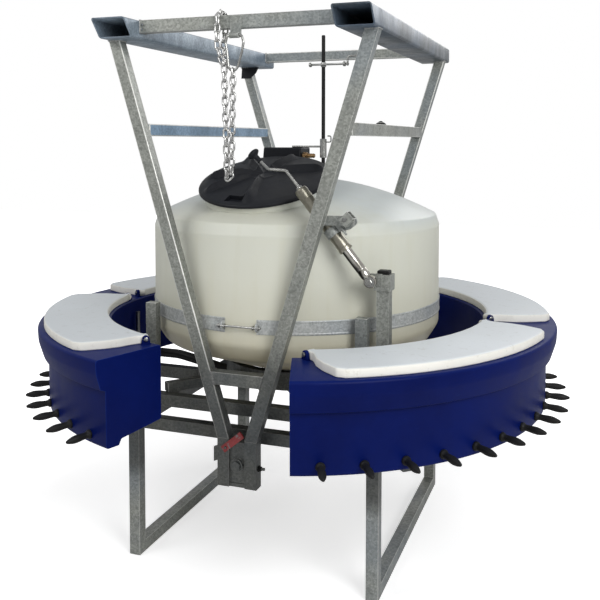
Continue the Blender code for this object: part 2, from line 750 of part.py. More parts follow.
def cavity_profile():
    wall = TROUGH_WALL
    return [
        (TROUGH_INNER + wall, TROUGH_FLOOR_INNER + wall),
        (TROUGH_KEEL - 0.010, TROUGH_FLOOR_OUTER + wall),
        (TROUGH_KEEL, TROUGH_BOTTOM + wall), (TROUGH_OUTER_LOW - wall, TROUGH_BOTTOM + wall),
        (TROUGH_OUTER_LOW - wall, TROUGH_STEP + 0.002),
        (TROUGH_OUTER_TOP - 0.020, TROUGH_STEP + 0.054),
        (TROUGH_OUTER_TOP - wall, TROUGH_STEP + 0.096),
        (TROUGH_OUTER_TOP - wall - 0.004, TROUGH_TOP - 0.012),
        (TROUGH_INNER + wall, TROUGH_TOP - 0.012)]


def cover_frame(centre_angle):
    # Local axes of one trough lid: x along its hinge line, y away from the tank.
    outward = Vector((math.cos(centre_angle), math.sin(centre_angle), 0))
    along = Vector((outward.y, -outward.x, 0))
    return Matrix((
        (along.x, outward.x, 0, 0), (along.y, outward.y, 0, 0), (0, 0, 1, 0), (0, 0, 0, 1)))


def teat(name, angle):
    # The root sinks into the trough's wall, to which the teat is joined.
    out = Vector((math.cos(angle), math.sin(angle), 0))
    base = out * (TROUGH_OUTER_LOW - 0.003) + Vector((0, 0, TEAT_Z))
    turn = out.to_track_quat("Z", "Y").to_matrix().to_4x4()
    profile = [
        (0.0, TEAT_LENGTH), (0.0090, TEAT_LENGTH - 0.004), (0.0150, 0.024), (0.021, 0.010),
        (0.021, 0.0), (0.0, 0.0)]
    return turned(name, profile, steps=6, place=Matrix.Translation(base) @ turn)


def hinge_lug(name, centre_angle, sign):
    frame = cover_frame(centre_angle)
    chord = HINGE_RADIUS * math.cos(HINGE_HALF_ANGLE)
    reach = HINGE_RADIUS * math.sin(HINGE_HALF_ANGLE)
    low, high = reach - HINGE_LUG_THICK / 2, reach + HINGE_LUG_THICK / 2
    low, high = sorted((sign * low, sign * high))
    stem = box(name, (low, chord - 0.014, TROUGH_TOP - 0.006), (high, chord + 0.014, HINGE_Z))
    stem.matrix_world = frame
    dome = rod(name + "_dome", (low, chord, HINGE_Z), (high, chord, HINGE_Z), 0.014, sides=12)
    dome.matrix_world = frame
    bore = rod(name + "_bore", (low - 0.01, chord, HINGE_Z), (high + 0.01, chord, HINGE_Z),
               HINGE_PIN_RADIUS + 0.0008, sides=10, cutter=True)
    bore.matrix_world = frame
    return [stem, dome], bore


def trough(side, facing):
    half = TROUGH_HALF_ANGLE
    name = f"trough_{side}"
    body = swept_sector(name, trough_profile(), facing - half, facing + half, 24, BLUE_PLASTIC)
    end_angle = half - TROUGH_WALL
    divider = 0.005
    hollows = [
        swept_sector(f"{name}_hollow_{index}", cavity_profile(), facing + start, facing + end,
                     10, cutter=True)
        for index, (start, end) in enumerate(((divider, end_angle), (-end_angle, -divider)))]
    mouth_half = COVER_HALF_ANGLE - math.radians(1.6)
    mouths = []
    for index, turn in enumerate((LID_MID_ANGLE, -LID_MID_ANGLE)):
        centre = facing + turn
        mouths.append(swept_sector(
            f"{name}_mouth_{index}",
            [(HINGE_RADIUS + 0.020, TROUGH_TOP - 0.05), (COVER_OUTER - 0.018, TROUGH_TOP - 0.05),
             (COVER_OUTER - 0.018, TROUGH_TOP + 0.05), (HINGE_RADIUS + 0.020, TROUGH_TOP + 0.05)],
            centre - mouth_half, centre + mouth_half, 6, cutter=True))
    lugs = []
    bores = []
    for index, turn in enumerate((LID_MID_ANGLE, -LID_MID_ANGLE)):
        for sign in (-1, 1):
            added, bore = hinge_lug(f"{name}_lug_{index}_{sign}", facing + turn, sign)
            lugs += added
            bores.append(bore)
    spread = 2 * TEAT_END_ANGLE / (TEATS_PER_HALF - 1)
    teats = [teat(f"{name}_teat_{index}", facing - TEAT_END_ANGLE + spread * index)
             for index in range(TEATS_PER_HALF)]
    out = Vector((math.cos(facing), math.sin(facing), 0))
    spigot = rod(f"{name}_spigot", out * (TROUGH_INNER - SPIGOT_LENGTH) + Vector((0, 0, INLET_Z)),
                 out * (TROUGH_INNER + 0.004) + Vector((0, 0, INLET_Z)), SPIGOT_RADIUS, sides=16)
    tap = rod(f"{name}_tap", out * (TAP_X - 0.022) + Vector((0, 0, INLET_Z)),
              out * (TAP_X + 0.022) + Vector((0, 0, INLET_Z)), TAP_RADIUS, sides=16)
    stud_at = Vector((out.x * TAP_X, 0, INLET_Z))
    stud = rod(f"{name}_tap_stud", stud_at, stud_at + Vector((0, -0.0335, 0)), TAP_STUD, sides=12)
    join(body, *lugs, spigot, tap, stud, *teats)
    cut(body, *hollows, *mouths, *bores)
    return body


def cover(name, centre_angle):
    # The outline is drawn in the lid's own axes: x along the hinge, y away from the tank.
    chord = HINGE_RADIUS * math.cos(HINGE_HALF_ANGLE)
    reach = HINGE_RADIUS * math.sin(HINGE_HALF_ANGLE)
    ear_out = reach - HINGE_LUG_THICK / 2 - 0.001
    ear_in = ear_out - HINGE_EAR_LENGTH

    def arc(radius, first, last, steps):
        return [(radius * math.sin(first + (last - first) * step / steps),
                 radius * math.cos(first + (last - first) * step / steps))
                for step in range(steps + 1)]

    corner = COVER_HALF_ANGLE - math.radians(1.1)
    inner_end = math.asin(ear_in / COVER_INNER)
    half_end = [(COVER_OUTER * math.sin(COVER_HALF_ANGLE) + 0.002,
                 COVER_OUTER * math.cos(COVER_HALF_ANGLE) - 0.020),
                (ear_out + 0.050, chord + 0.160), (ear_out + 0.034, chord + 0.100),
                (ear_out + 0.010, chord + 0.055), (ear_out, chord + 0.030), (ear_out, chord)]
    outline = arc(COVER_OUTER, -corner, corner, 10) + half_end
    outline += arc(COVER_INNER, inner_end, -inner_end, 7)
    outline += [(-x, y) for x, y in reversed(half_end)]
    low = TROUGH_TOP + GAP
    item = slab(name, outline, low, low + COVER_THICK, WHITE_PLASTIC)
    frame = cover_frame(centre_angle)
    tools = []
    for sign in (-1, 1):
        ear = rod(f"{name}_ear_{sign}", (sign * ear_in, chord, HINGE_Z),
                  (sign * ear_out, chord, HINGE_Z), HINGE_EAR_RADIUS, sides=12)
        pin = rod(f"{name}_pin_{sign}", (sign * (ear_out - 0.01), chord, HINGE_Z),
                  (sign * (reach + HINGE_LUG_THICK / 2 + 0.003), chord, HINGE_Z),
                  HINGE_PIN_RADIUS, sides=10)
        tools += [ear, pin]
    for tool in tools:
        tool.matrix_world = frame
    item.matrix_world = frame
    join(item, *tools)
    return item


# Levelling frame

def leg_x(height):
    return V_TOP_X - V_SLOPE * (SLEEVE_BOTTOM - height)


def v_leg(name, sign_x, sign_y):
    half = TUBE / 2
    wide = half * math.sqrt(1 + V_SLOPE ** 2)

    def lean(point):
        return (sign_x * leg_x(point.z) + math.copysign(wide, point.x), point.y, point.z)

    y = sign_y * END_Y
    return box(name, (-wide, y - half, FOOT_TOP + GAP), (wide, y + half, SLEEVE_BOTTOM - GAP),
               GALVANISED, move=lean)


def tie(name, sign_y):
    half = TUBE / 2
    wide = half * math.sqrt(1 + V_SLOPE ** 2) + GAP
    y = sign_y * END_Y

    def spread(point):
        return (math.copysign(leg_x(point.z) - wide, point.x), point.y, point.z)

    return box(name, (-1, y - half, TIE_Z - half), (1, y + half, TIE_Z + half),
               GALVANISED, move=spread)


def sleeve(name, sign_x):
    half = SLEEVE_WIDTH / 2
    x = sign_x * SLEEVE_X
    top = SLEEVE_BOTTOM + SLEEVE_HEIGHT

    def slant(point):
        shift = SLEEVE_SLANT if point.y < 0 and point.z < SLEEVE_BOTTOM + 0.01 else 0.0
        return (point.x, point.y + shift, point.z)

    item = box(name, (x - half, SLEEVE_FRONT, SLEEVE_BOTTOM), (x + half, SLEEVE_REAR, top),
               GALVANISED, move=slant)
    wall = SLEEVE_WALL
    hollow = box(name + "_hollow", (x - half + wall, SLEEVE_FRONT - 0.1, SLEEVE_BOTTOM + wall),
                 (x + half - wall, SLEEVE_REAR + 0.1, top - wall), cutter=True)
    return cut(item, hollow)


def foot(end, sign):
    # Two short tubes with a set-back plate between them, hung on the pivot pin.
    half = TUBE / 2
    name = f"foot_{end}"
    y = sign * END_Y
    centre = leg_x(FOOT_TOP)
    body = box(name, (-centre - half, y - half, FOOT_BOTTOM), (-centre + half, y + half, FOOT_TOP),
               GALVANISED)
    other = box(name + "_tube", (centre - half, y - half, FOOT_BOTTOM),
                (centre + half, y + half, FOOT_TOP))
    plate = box(name + "_plate", (-centre, y - 0.014, FOOT_BOTTOM + 0.015),
                (centre, y + 0.014, FOOT_TOP - 0.010))
    boss = rod(name + "_boss", (0, y - half - 0.004 * (1 - sign) / 2, PIVOT_Z),
               (0, y + half + 0.004 * (1 + sign) / 2, PIVOT_Z), 0.026, sides=16)
    bore = rod(name + "_bore", (0, y - 0.05, PIVOT_Z), (0, y + 0.05, PIVOT_Z),
               PIVOT_RADIUS + 0.0007, sides=16, cutter=True)
    tools = [other, plate, boss]
    if end == "front":
        face = y - half
        tools.append(box(name + "_catch", (-centre - half - 0.018, face + 0.004, 0.515),
                         (-centre - half + 0.01, face + 0.012, 0.575),
                         move=lambda point: (point.x, point.y, point.z
                                             - (0.012 if point.x < -0.09 else 0.0))))
        tools.append(rod(name + "_stop_bolt", (centre, y, 0.490), (centre + half + 0.026, y, 0.490),
                         0.006, sides=10))
        tools.append(rod(name + "_latch_stud", (LATCH_PIVOT[0], face + 0.004, LATCH_PIVOT[1]),
                         (LATCH_PIVOT[0], face - 0.014, LATCH_PIVOT[1]), 0.005, sides=12))
    return cut(join(body, *tools), bore)


def latch():
    # A flat red lever that swings on a stud on the front foot.
    face = -(END_Y + TUBE / 2)
    start = Vector((LATCH_PIVOT[0], 0, LATCH_PIVOT[1]))
    end = Vector((LATCH_TIP[0], 0, LATCH_TIP[1]))
    along = (end - start).normalized()
    across = Vector((-along.z, 0, along.x))
    length = (end - start).length

    def place(point):
        flat = start + along * point.x + across * point.y
        return (flat.x, face - GAP - point.z, flat.z)

    bar = box("latch_lever", (-0.016, -0.014, 0.0005), (length, 0.014, 0.0085), RED_PAINT,
              move=place)
    bore = rod("latch_bore", (start.x, face - 0.02, start.z), (start.x, face + 0.02, start.z),
               0.0056, sides=12, cutter=True)
    return cut(bar, bore)


def pivot_pin(end, sign):
    half = TUBE / 2
    face = sign * (END_Y + half + 0.004 + RUN_GAP)
    pin = rod(f"pivot_pin_{end}", (0, sign * (LEG_Y - 0.025), PIVOT_Z), (0, face, PIVOT_Z),
              PIVOT_RADIUS, ZINC, sides=16)
    head = rod(f"pivot_head_{end}", (0, face, PIVOT_Z), (0, face + sign * 0.008, PIVOT_Z),
               0.020, sides=6)
    tip = rod(f"pivot_tip_{end}", (0, face - sign * 0.002, PIVOT_Z),
              (0, face + sign * 0.004, PIVOT_Z), PIVOT_RADIUS, sides=16)
    return join(pin, head, tip)


def build_frame():
    items = [sleeve("fork_sleeve_left", -1), sleeve("fork_sleeve_right", 1)]
    half = TUBE / 2
    inner = SLEEVE_X - SLEEVE_WIDTH / 2 - GAP
    top = SLEEVE_BOTTOM + SLEEVE_HEIGHT
    for end, sign in (("front", -1), ("rear", 1)):
        y = sign * END_Y
        items.append(box(f"crossbar_{end}", (-inner, y - half, top - TUBE),
                         (inner, y + half, top), GALVANISED))
        items.append(tie(f"tie_{end}", sign))
        items.append(foot(end, sign))
        for side, sign_x in (("left", -1), ("right", 1)):
            items.append(v_leg(f"v_leg_{end}_{side}", sign_x, sign))
    rung_end = END_Y - half - GAP
    for side, sign_x in (("left", -1), ("right", 1)):
        x = sign_x * leg_x(RUNG_Z)
        rung = box(f"rung_{side}", (x - half, -rung_end, RUNG_Z - half),
                   (x + half, rung_end, RUNG_Z + half), GALVANISED)
        if side == "right":
            join(rung, rod("rung_boss", (x, -0.12, RUNG_Z + half - 0.004),
                           (x, -0.12, RUNG_Z + half + 0.010), 0.016, sides=12))
        items.append(rung)
    return items


def add_jack_bracket(leg):
    # The plate on the back of the leg, and the bolt on which the jack's clamp swings.
    pivot = jack_point(CLAMP_AT, CLAMP_OFFSET)
    back = -(END_Y - TUBE / 2)
    plate = box("jack_bracket", (leg_x(pivot[1]) - 0.015, back - 0.004, pivot[1] - 0.012),
                (pivot[0] + 0.025, back + PLATE, pivot[1] + 0.025))
    bolt = rod("jack_bolt", (pivot[0], back, pivot[1]), (pivot[0], JACK_Y + 0.022, pivot[1]),
               0.008, sides=16)
    return join(leg, plate, bolt)


# Jack

def jack_point(along, offset=0.0):
    # A place in the jack's plane: along its axis from the eye, and off it to the upper side.
    side = (JACK_AXIS[1], -JACK_AXIS[0])
    return (JACK_EYE[0] + JACK_AXIS[0] * along + side[0] * offset,
            JACK_EYE[1] + JACK_AXIS[1] * along + side[1] * offset)


def jack_place(along=0.0, offset=0.0):
    # The jack's own axes: z up its axis, y into the picture, x to the upper side.
    x, z = jack_point(along, offset)
    side = (JACK_AXIS[1], -JACK_AXIS[0])
    return Matrix((
        (side[0], 0, JACK_AXIS[0], x), (0, 1, 0, JACK_Y), (side[1], 0, JACK_AXIS[1], z),
        (0, 0, 0, 1)))


def build_jack():
    radius = JACK_TUBE_RADIUS
    bore = radius - JACK_TUBE_WALL
    low, high = JACK_TUBE_LOW, JACK_TUBE_HIGH
    shaft = JACK_SCREW_RADIUS + RUN_GAP
    outer = turned("jack_tube", [
        (shaft, high), (radius - 0.003, high), (radius, high - 0.004), (radius, low + 0.016),
        (radius + 0.002, low + 0.014), (radius + 0.002, low), (bore, low), (bore, high - 0.008),
        (shaft, high - 0.008)], ZINC, steps=16, place=jack_place())
    clamp = turned("jack_clamp", [
        (radius + CLAMP_WALL, CLAMP_LENGTH / 2), (radius + CLAMP_WALL, -CLAMP_LENGTH / 2),
        (radius + GAP, -CLAMP_LENGTH / 2), (radius + GAP, CLAMP_LENGTH / 2)],
        GALVANISED, steps=16, place=jack_place(CLAMP_AT))
    ear = box("clamp_ear", (radius + 0.004, -0.018, -0.024), (CLAMP_OFFSET + 0.024, 0.018, 0.024))
    ear.matrix_world = jack_place(CLAMP_AT)
    pivot = jack_point(CLAMP_AT, CLAMP_OFFSET)
    ear_bore = rod("clamp_bore", (pivot[0], JACK_Y - 0.05, pivot[1]),
                   (pivot[0], JACK_Y + 0.05, pivot[1]), 0.0086, sides=16, cutter=True)
    screw = rod("clamp_screw", (0.048, -0.016, -0.014), (0.048, -0.037, -0.014), 0.005,
                sides=10)
    screw.matrix_world = jack_place(CLAMP_AT)
    screw_knob = rod("clamp_screw_bar", (0.048, -0.033, -0.030), (0.048, -0.033, 0.0), 0.004,
                     sides=8)
    screw_knob.matrix_world = jack_place(CLAMP_AT)
    join(clamp, ear, screw, screw_knob)
    cut(clamp, ear_bore)

    screw_bore = JACK_SCREW_RADIUS + 0.0015
    ram = turned("jack_ram", [
        (screw_bore, JACK_RAM_HIGH), (JACK_RAM_RADIUS + 0.0021, JACK_RAM_HIGH),
        (JACK_RAM_RADIUS + 0.0021, JACK_RAM_HIGH - 0.02), (JACK_RAM_RADIUS, JACK_RAM_HIGH - 0.022),
        (JACK_RAM_RADIUS, 0.028), (JACK_RAM_RADIUS - 0.003, 0.020), (screw_bore, 0.020)],
        ZINC, steps=14, place=jack_place())
    saddle = rod("ram_saddle", (JACK_EYE[0], JACK_Y - 0.03, JACK_EYE[1]),
                 (JACK_EYE[0], JACK_Y + 0.03, JACK_EYE[1]), EYE_RADIUS + GAP, sides=16,
                 cutter=True)
    cut(ram, saddle)
    eye = rod("ram_eye", (JACK_EYE[0], JACK_Y - 0.012, JACK_EYE[1]),
              (JACK_EYE[0], JACK_Y + 0.012, JACK_EYE[1]), EYE_RADIUS, ZINC, sides=16)
    eye_bore = rod("ram_eye_bore", (JACK_EYE[0], JACK_Y - 0.03, JACK_EYE[1]),
                   (JACK_EYE[0], JACK_Y + 0.03, JACK_EYE[1]), EYE_BORE, sides=16, cutter=True)
    cut(eye, eye_bore)

    top = jack_point(JACK_TUBE_HIGH)
    start = jack_point(CRANK_LOW)
    bend_a = jack_point(JACK_TUBE_HIGH + CRANK_REACH)
    bend_b = (bend_a[0] - CRANK_THROW, bend_a[1] + CRANK_RISE)
    end = (bend_b[0] + GRIP_STEP[0], bend_b[1] + GRIP_STEP[1])
    path = rounded_path([(start[0], JACK_Y, start[1]), (bend_a[0], JACK_Y, bend_a[1]),
                         (bend_b[0], JACK_Y, bend_b[1]), (end[0], JACK_Y, end[1])], 0.016)
    crank = wire_mesh("crank", path, JACK_SCREW_RADIUS, ZINC, resolution=2)
    grip_dir = Vector((end[0] - bend_b[0], 0, end[1] - bend_b[1])).normalized()
    spindle = rod("crank_spindle", Vector((end[0], JACK_Y, end[1])) - grip_dir * 0.004,
                  Vector((end[0], JACK_Y, end[1])) + grip_dir * 0.050, 0.0045, sides=12)
    collar = rod("crank_collar", Vector((top[0], JACK_Y, top[1])) + Vector(
        (JACK_AXIS[0], 0, JACK_AXIS[1])) * RUN_GAP, Vector((top[0], JACK_Y, top[1])) + Vector(
        (JACK_AXIS[0], 0, JACK_AXIS[1])) * 0.010, 0.014, sides=16)
    join(crank, spindle, collar)
    turn = grip_dir.to_track_quat("Z", "Y").to_matrix().to_4x4()
    knob = turned("crank_knob", [
        (0.0052, 0.052), (0.020, 0.052), (0.026, 0.046), (0.026, 0.040), (0.019, 0.034),
        (0.0105, 0.028), (0.0100, 0.006), (0.0110, 0.001), (0.0052, 0.001)],
        RUBBER, steps=20, place=Matrix.Translation((end[0], JACK_Y, end[1])) @ turn)
    return outer, clamp, ram, eye, crank, knob


# Chain

def link_mesh():
    # A ring drawn out along X, so that it has two straight sides and two round ends.
    bpy.ops.mesh.primitive_torus_add(
        major_segments=8, minor_segments=6, major_radius=CHAIN_WIDTH / 2 - CHAIN_WIRE,
        minor_radius=CHAIN_WIRE, rotation=(0, 0, math.radians(22.5)))
    ring = bpy.context.active_object
    mesh = ring.data
    mesh.transform(ring.matrix_world)
    bpy.data.objects.remove(ring, do_unlink=True)
    stretch = CHAIN_INNER / 2 + 2 * CHAIN_WIRE - CHAIN_WIDTH / 2
    for vert in mesh.vertices:
        vert.co.x += math.copysign(stretch, vert.co.x)
    mesh.name = "chain_link"
    return mesh


def link(name, mesh, centre, along, normal):
    # One chain link, its length lying along a line.
    along = Vector(along).normalized()
    normal = Vector(normal)
    normal = (normal - along * normal.dot(along)).normalized()
    across = normal.cross(along)
    item = add_object(name, mesh, None, cutter=True)
    item.matrix_world = Matrix((
        (along.x, across.x, normal.x, centre[0]), (along.y, across.y, normal.y, centre[1]),
        (along.z, across.z, normal.z, centre[2]), (0, 0, 0, 1)))
    return item


def chain_run(name, mesh, start, directions, first_upright):
    # Links one after the other from a start point, each turned a quarter from the last.
    here = Vector(start)
    links = []
    upright = first_upright
    for index, direction in enumerate(directions):
        step = Vector(direction).normalized() * CHAIN_PITCH
        normal = Vector((1, 0, 0)) if upright else step.cross(Vector((1, 0, 0)))
        links.append(link(f"{name}_{index}", mesh, here + step / 2, step, normal))
        here = here + step
        upright = not upright
    return links, here


def chain_side(front, lean):
    # Directions of the seven links between the top link and the bottom one.
    turn = math.radians(35)
    out = -1 if front else 1
    steps = [(0, out * math.cos(turn), -math.sin(turn)), (-0.02, 0, -1)]
    for drift in (-0.02, -0.02, 0.10, 0.30, 0.46):
        steps.append((drift, 0 if front else -math.sin(lean), -1 if front else -math.cos(lean)))
    return steps


def build_chain():
    # A turn round the front crossbar, and two falls that meet in a bottom link.
    bar = Vector((CHAIN_X, -END_Y, SLEEVE_BOTTOM + SLEEVE_HEIGHT - TUBE / 2))
    top_z = bar.z + TUBE / 2 + CHAIN_WIDTH / 2 - 0.0006
    front_top = Vector((bar.x, bar.y - CHAIN_PITCH / 2, top_z))
    rear_top = Vector((bar.x, bar.y + CHAIN_PITCH / 2, top_z))

    def run_end(start, directions):
        return start + sum((Vector(way).normalized() * CHAIN_PITCH for way in directions),
                           Vector((0, 0, 0)))

    low, high = math.radians(10), math.radians(30)
    for _ in range(30):
        lean = (low + high) / 2
        apart = run_end(rear_top, chain_side(False, lean)) - run_end(
            front_top, chain_side(True, lean))
        if apart.length > CHAIN_PITCH:
            low = lean
        else:
            high = lean
    mesh = link_mesh()
    front_links, front_low = chain_run(
        "link_front", mesh, front_top, chain_side(True, lean), False)
    rear_links, rear_low = chain_run("link_rear", mesh, rear_top, chain_side(False, lean), False)
    links = front_links + rear_links
    links.append(link("link_low", mesh, (front_low + rear_low) / 2, rear_low - front_low,
                      (1, 0, 0)))

    half_width = CHAIN_WIDTH / 2 - CHAIN_WIRE
    reach = CHAIN_WIRE - (CHAIN_PITCH - CHAIN_INNER) / 2
    low_middle = (front_low + rear_low) / 2 + (front_low - rear_low).normalized() * 0.005
    left_top = low_middle + Vector((0, 0, reach - half_width))
    right_top = Vector((HOOK_LOW[0], HOOK_LOW[1],
                        HOOK_LOW[2] + HOOK_WIRE + 3 * GAP + CHAIN_WIRE - reach))
    left_target = Vector((-0.031, HOOK_LOW[1] + 0.003, 0))
    right_target = Vector((-0.012, HOOK_LOW[1] + 0.003, 0))
    ends = []
    for name, start, target, count, upright in (
            ("link_left", left_top, left_target, 14, False),
            ("link_right", right_top, right_target, 13, True)):
        way = Vector((target.x - start.x, target.y - start.y, 0))
        way.z = -math.sqrt((count * CHAIN_PITCH) ** 2 - way.length_squared)
        run, end = chain_run(name, mesh, start, [way] * count, upright)
        links += run
        ends.append(end - Vector((0, 0, reach)))
    links.append(link("link_bottom", mesh, (ends[0] + ends[1]) / 2, ends[1] - ends[0],
                      (0, 1, 0)))
    chain = link("chain", mesh.copy(), (front_top + rear_top) / 2, (0, 1, 0), (1, 0, 0))
    CUTTERS.objects.unlink(chain)
    PARTS.objects.link(chain)
    chain.hide_render = False
    chain.display_type = "TEXTURED"
    chain.data.materials.append(ZINC)
    return join(chain, *links)


def build_hook():
    # A pear-shaped ring: its straight top runs through the eye on the crossbar.
    low_x, y, low_z = HOOK_LOW
    top = HOOK_TOP
    points = []
    for step in range(5):
        angle = math.radians(180 + 45 * step)
        points.append((low_x + 0.019 * math.cos(angle), y, low_z + 0.019 + 0.019 * math.sin(angle)))
    points += [(low_x + 0.037, y, low_z + 0.070), (low_x + 0.044, y, top - 0.028),
               (low_x + 0.038, y, top - 0.008), (low_x + 0.028, y, top),
               (low_x - 0.016, y, top), (low_x - 0.026, y, top - 0.008),
               (low_x - 0.032, y, top - 0.028), (low_x - 0.025, y, low_z + 0.070)]
    return wire_mesh("chain_hook", points, HOOK_WIRE, ZINC, resolution=2, cyclic=True)


def add_hook_eye(bar):
    # A tube eye along the bar's front face, held by a plate, for the ring's straight top.
    y = HOOK_LOW[1]
    eye = rod("hook_eye", (HOOK_LOW[0] - 0.014, y, HOOK_TOP), (HOOK_LOW[0] + 0.026, y, HOOK_TOP),
              0.0115, sides=20)
    face = -(END_Y + TUBE / 2)
    plate = box("hook_eye_plate", (HOOK_LOW[0] - 0.016, face - 0.007, HOOK_TOP - 0.006),
                (HOOK_LOW[0] + 0.028, face + 0.002, SLEEVE_BOTTOM + SLEEVE_HEIGHT - 0.004))
    bore = rod("hook_eye_bore", (HOOK_LOW[0] - 0.05, y, HOOK_TOP),
               (HOOK_LOW[0] + 0.05, y, HOOK_TOP), HOOK_WIRE + 0.0008, sides=20, cutter=True)
    return cut(join(bar, plate, eye), bore)


def build_hose(side, sign):
    end_x = TROUGH_INNER - SPIGOT_LENGTH - GAP
    points = rounded_path([
        (sign * 0.052, 0, VALVE_Z), (sign * 0.200, 0, VALVE_Z), (sign * 0.620, 0, INLET_Z),
        (sign * end_x, 0, INLET_Z)], 0.300, steps=3)
    return wire(f"hose_{side}", points, HOSE_RADIUS, RUBBER, resolution=2)


def build_valve():
    low = VALVE_Z - 0.045
    body = turned("outlet_valve", [
        (0.0, NECK_BOTTOM - GAP), (0.064, NECK_BOTTOM - GAP), (0.064, NECK_BOTTOM - 0.008),
        (0.047, NECK_BOTTOM - 0.008), (0.044, low + 0.01), (0.036, low), (0.0, low)],
        BLACK_PLASTIC, steps=16)
    ports = [rod(f"valve_port_{side}", (side * 0.030, 0, VALVE_Z),
                 (side * (0.052 - GAP), 0, VALVE_Z), 0.020, sides=16)
             for side in (-1, 1)]
    return join(body, *ports)


def tap_lever(side, sign):
    # A flat lever on the tap's stud, with a round grip at its upper end.
    face = -(TAP_RADIUS + 0.0015)
    x = sign * TAP_X

    def lean(point):
        shift = sign * 0.022 if point.z > 0.05 else 0.0
        return (x + point.x + shift, face + point.y, INLET_Z + point.z)

    blade = box(f"tap_lever_{side}", (-0.009, -0.004, -0.012), (0.009, 0.0, 0.080), ZINC,
                move=lean)
    grip = rod(f"tap_grip_{side}", (x + sign * 0.022, face - 0.010, INLET_Z + 0.070),
               (x + sign * 0.022, face - 0.010, INLET_Z + 0.205), 0.010, sides=12)
    bore = rod(f"tap_bore_{side}", (x, face - 0.02, INLET_Z), (x, face + 0.02, INLET_Z),
               TAP_STUD + RUN_GAP, sides=12, cutter=True)
    return cut(join(blade, grip), bore)


def main():
    base = build_stand()
    tanks, lids = build_tank()
    base += tanks + build_head()
    base += [band("left", -1), band("right", 1), band_rod("front", -1), band_rod("rear", 1)]
    base += [trough("right", 0.0), trough("left", math.pi)]
    base += [pivot_pin("front", -1), pivot_pin("rear", 1)]
    base += [build_valve(), build_hose("left", -1), build_hose("right", 1)]
    covers = {
        "front_right": -LID_MID_ANGLE, "rear_right": LID_MID_ANGLE,
        "rear_left": math.pi - LID_MID_ANGLE, "front_left": math.pi + LID_MID_ANGLE}
    chord = HINGE_RADIUS * math.cos(HINGE_HALF_ANGLE)
    for name, angle in covers.items():
        item = cover(f"trough_lid_{name}", angle)
        hinge = joint_empty(f"hinge_{name}", (chord * math.cos(angle), chord * math.sin(angle),
                                              HINGE_Z))
        attach([item], hinge)

    pivot_x, pivot_z = jack_point(CLAMP_AT, CLAMP_OFFSET)
    lift_frame = joint_empty("lift_frame", (0, 0, PIVOT_Z))
    jack_body = joint_empty("jack_body", (pivot_x, JACK_Y, pivot_z), lift_frame)
    frame = build_frame()
    for item in frame:
        if item.name == "v_leg_front_right":
            add_jack_bracket(item)
        if item.name == "crossbar_front":
            add_hook_eye(item)
    outer, clamp, ram, ram_eye, crank, knob = build_jack()
    frame += [build_chain(), build_hook()]
    attach(frame, lift_frame)
    attach([outer, clamp], jack_body)
    slide = joint_empty("ram_axis", (JACK_EYE[0], JACK_Y, JACK_EYE[1]), jack_body)
    attach([ram, ram_eye], slide)
    high_x, high_z = jack_point(JACK_TUBE_HIGH)
    turn = joint_empty("crank_axis", (high_x, JACK_Y, high_z), jack_body)
    attach([crank], turn)
    attach([knob], crank)
    plunger = joint_empty("plunger_axis", (PLUNGER_X, PLUNGER_Y, PLUNGER_LOW))
    attach(build_plunger(), plunger)
    stud = joint_empty("latch_axis", (LATCH_PIVOT[0], -(END_Y + TUBE / 2), LATCH_PIVOT[1]),
                       lift_frame)
    attach([latch()], stud)
    for side, sign in (("left", -1), ("right", 1)):
        tap = joint_empty(f"tap_axis_{side}", (sign * TAP_X, -TAP_RADIUS, INLET_Z))
        attach([tap_lever(side, sign)], tap)


main()
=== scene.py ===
# Multi-teat milk feeder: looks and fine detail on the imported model.
# Metres, +Z up, the front faces -Y, the origin is on the ground below the tank's axis.

import math

import bmesh
import bpy
from mathutils import Matrix, Vector, noise


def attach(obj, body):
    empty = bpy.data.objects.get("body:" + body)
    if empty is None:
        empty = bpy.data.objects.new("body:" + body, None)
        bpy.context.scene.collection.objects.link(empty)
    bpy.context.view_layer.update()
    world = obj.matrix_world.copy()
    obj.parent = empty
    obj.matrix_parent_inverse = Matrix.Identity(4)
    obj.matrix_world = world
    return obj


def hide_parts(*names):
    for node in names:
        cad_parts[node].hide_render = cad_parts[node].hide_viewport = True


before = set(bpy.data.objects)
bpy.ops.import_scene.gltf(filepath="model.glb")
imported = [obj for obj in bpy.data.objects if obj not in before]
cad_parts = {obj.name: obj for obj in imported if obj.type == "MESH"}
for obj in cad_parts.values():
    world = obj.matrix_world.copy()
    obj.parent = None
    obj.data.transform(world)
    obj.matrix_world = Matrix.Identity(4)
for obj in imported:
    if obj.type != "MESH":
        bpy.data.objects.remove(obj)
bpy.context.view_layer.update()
GAP = 0.0003


# Camera

def make_camera():
    data = bpy.data.cameras.new("camera")
    data.lens = 49.966
    data.sensor_width = 36.0
    data.shift_x = 0.01765
    data.shift_y = -0.19157
    camera = bpy.data.objects.new("camera", data)
    bpy.context.scene.collection.objects.link(camera)
    camera.location = (1.322, -3.646, 1.778)
    camera.rotation_euler = (math.radians(87.0), 0.0, math.radians(20.446))
    bpy.context.scene.camera = camera


make_camera()


# Materials

def rgba(value):
    return (*value, 1.0) if isinstance(value, tuple) else value


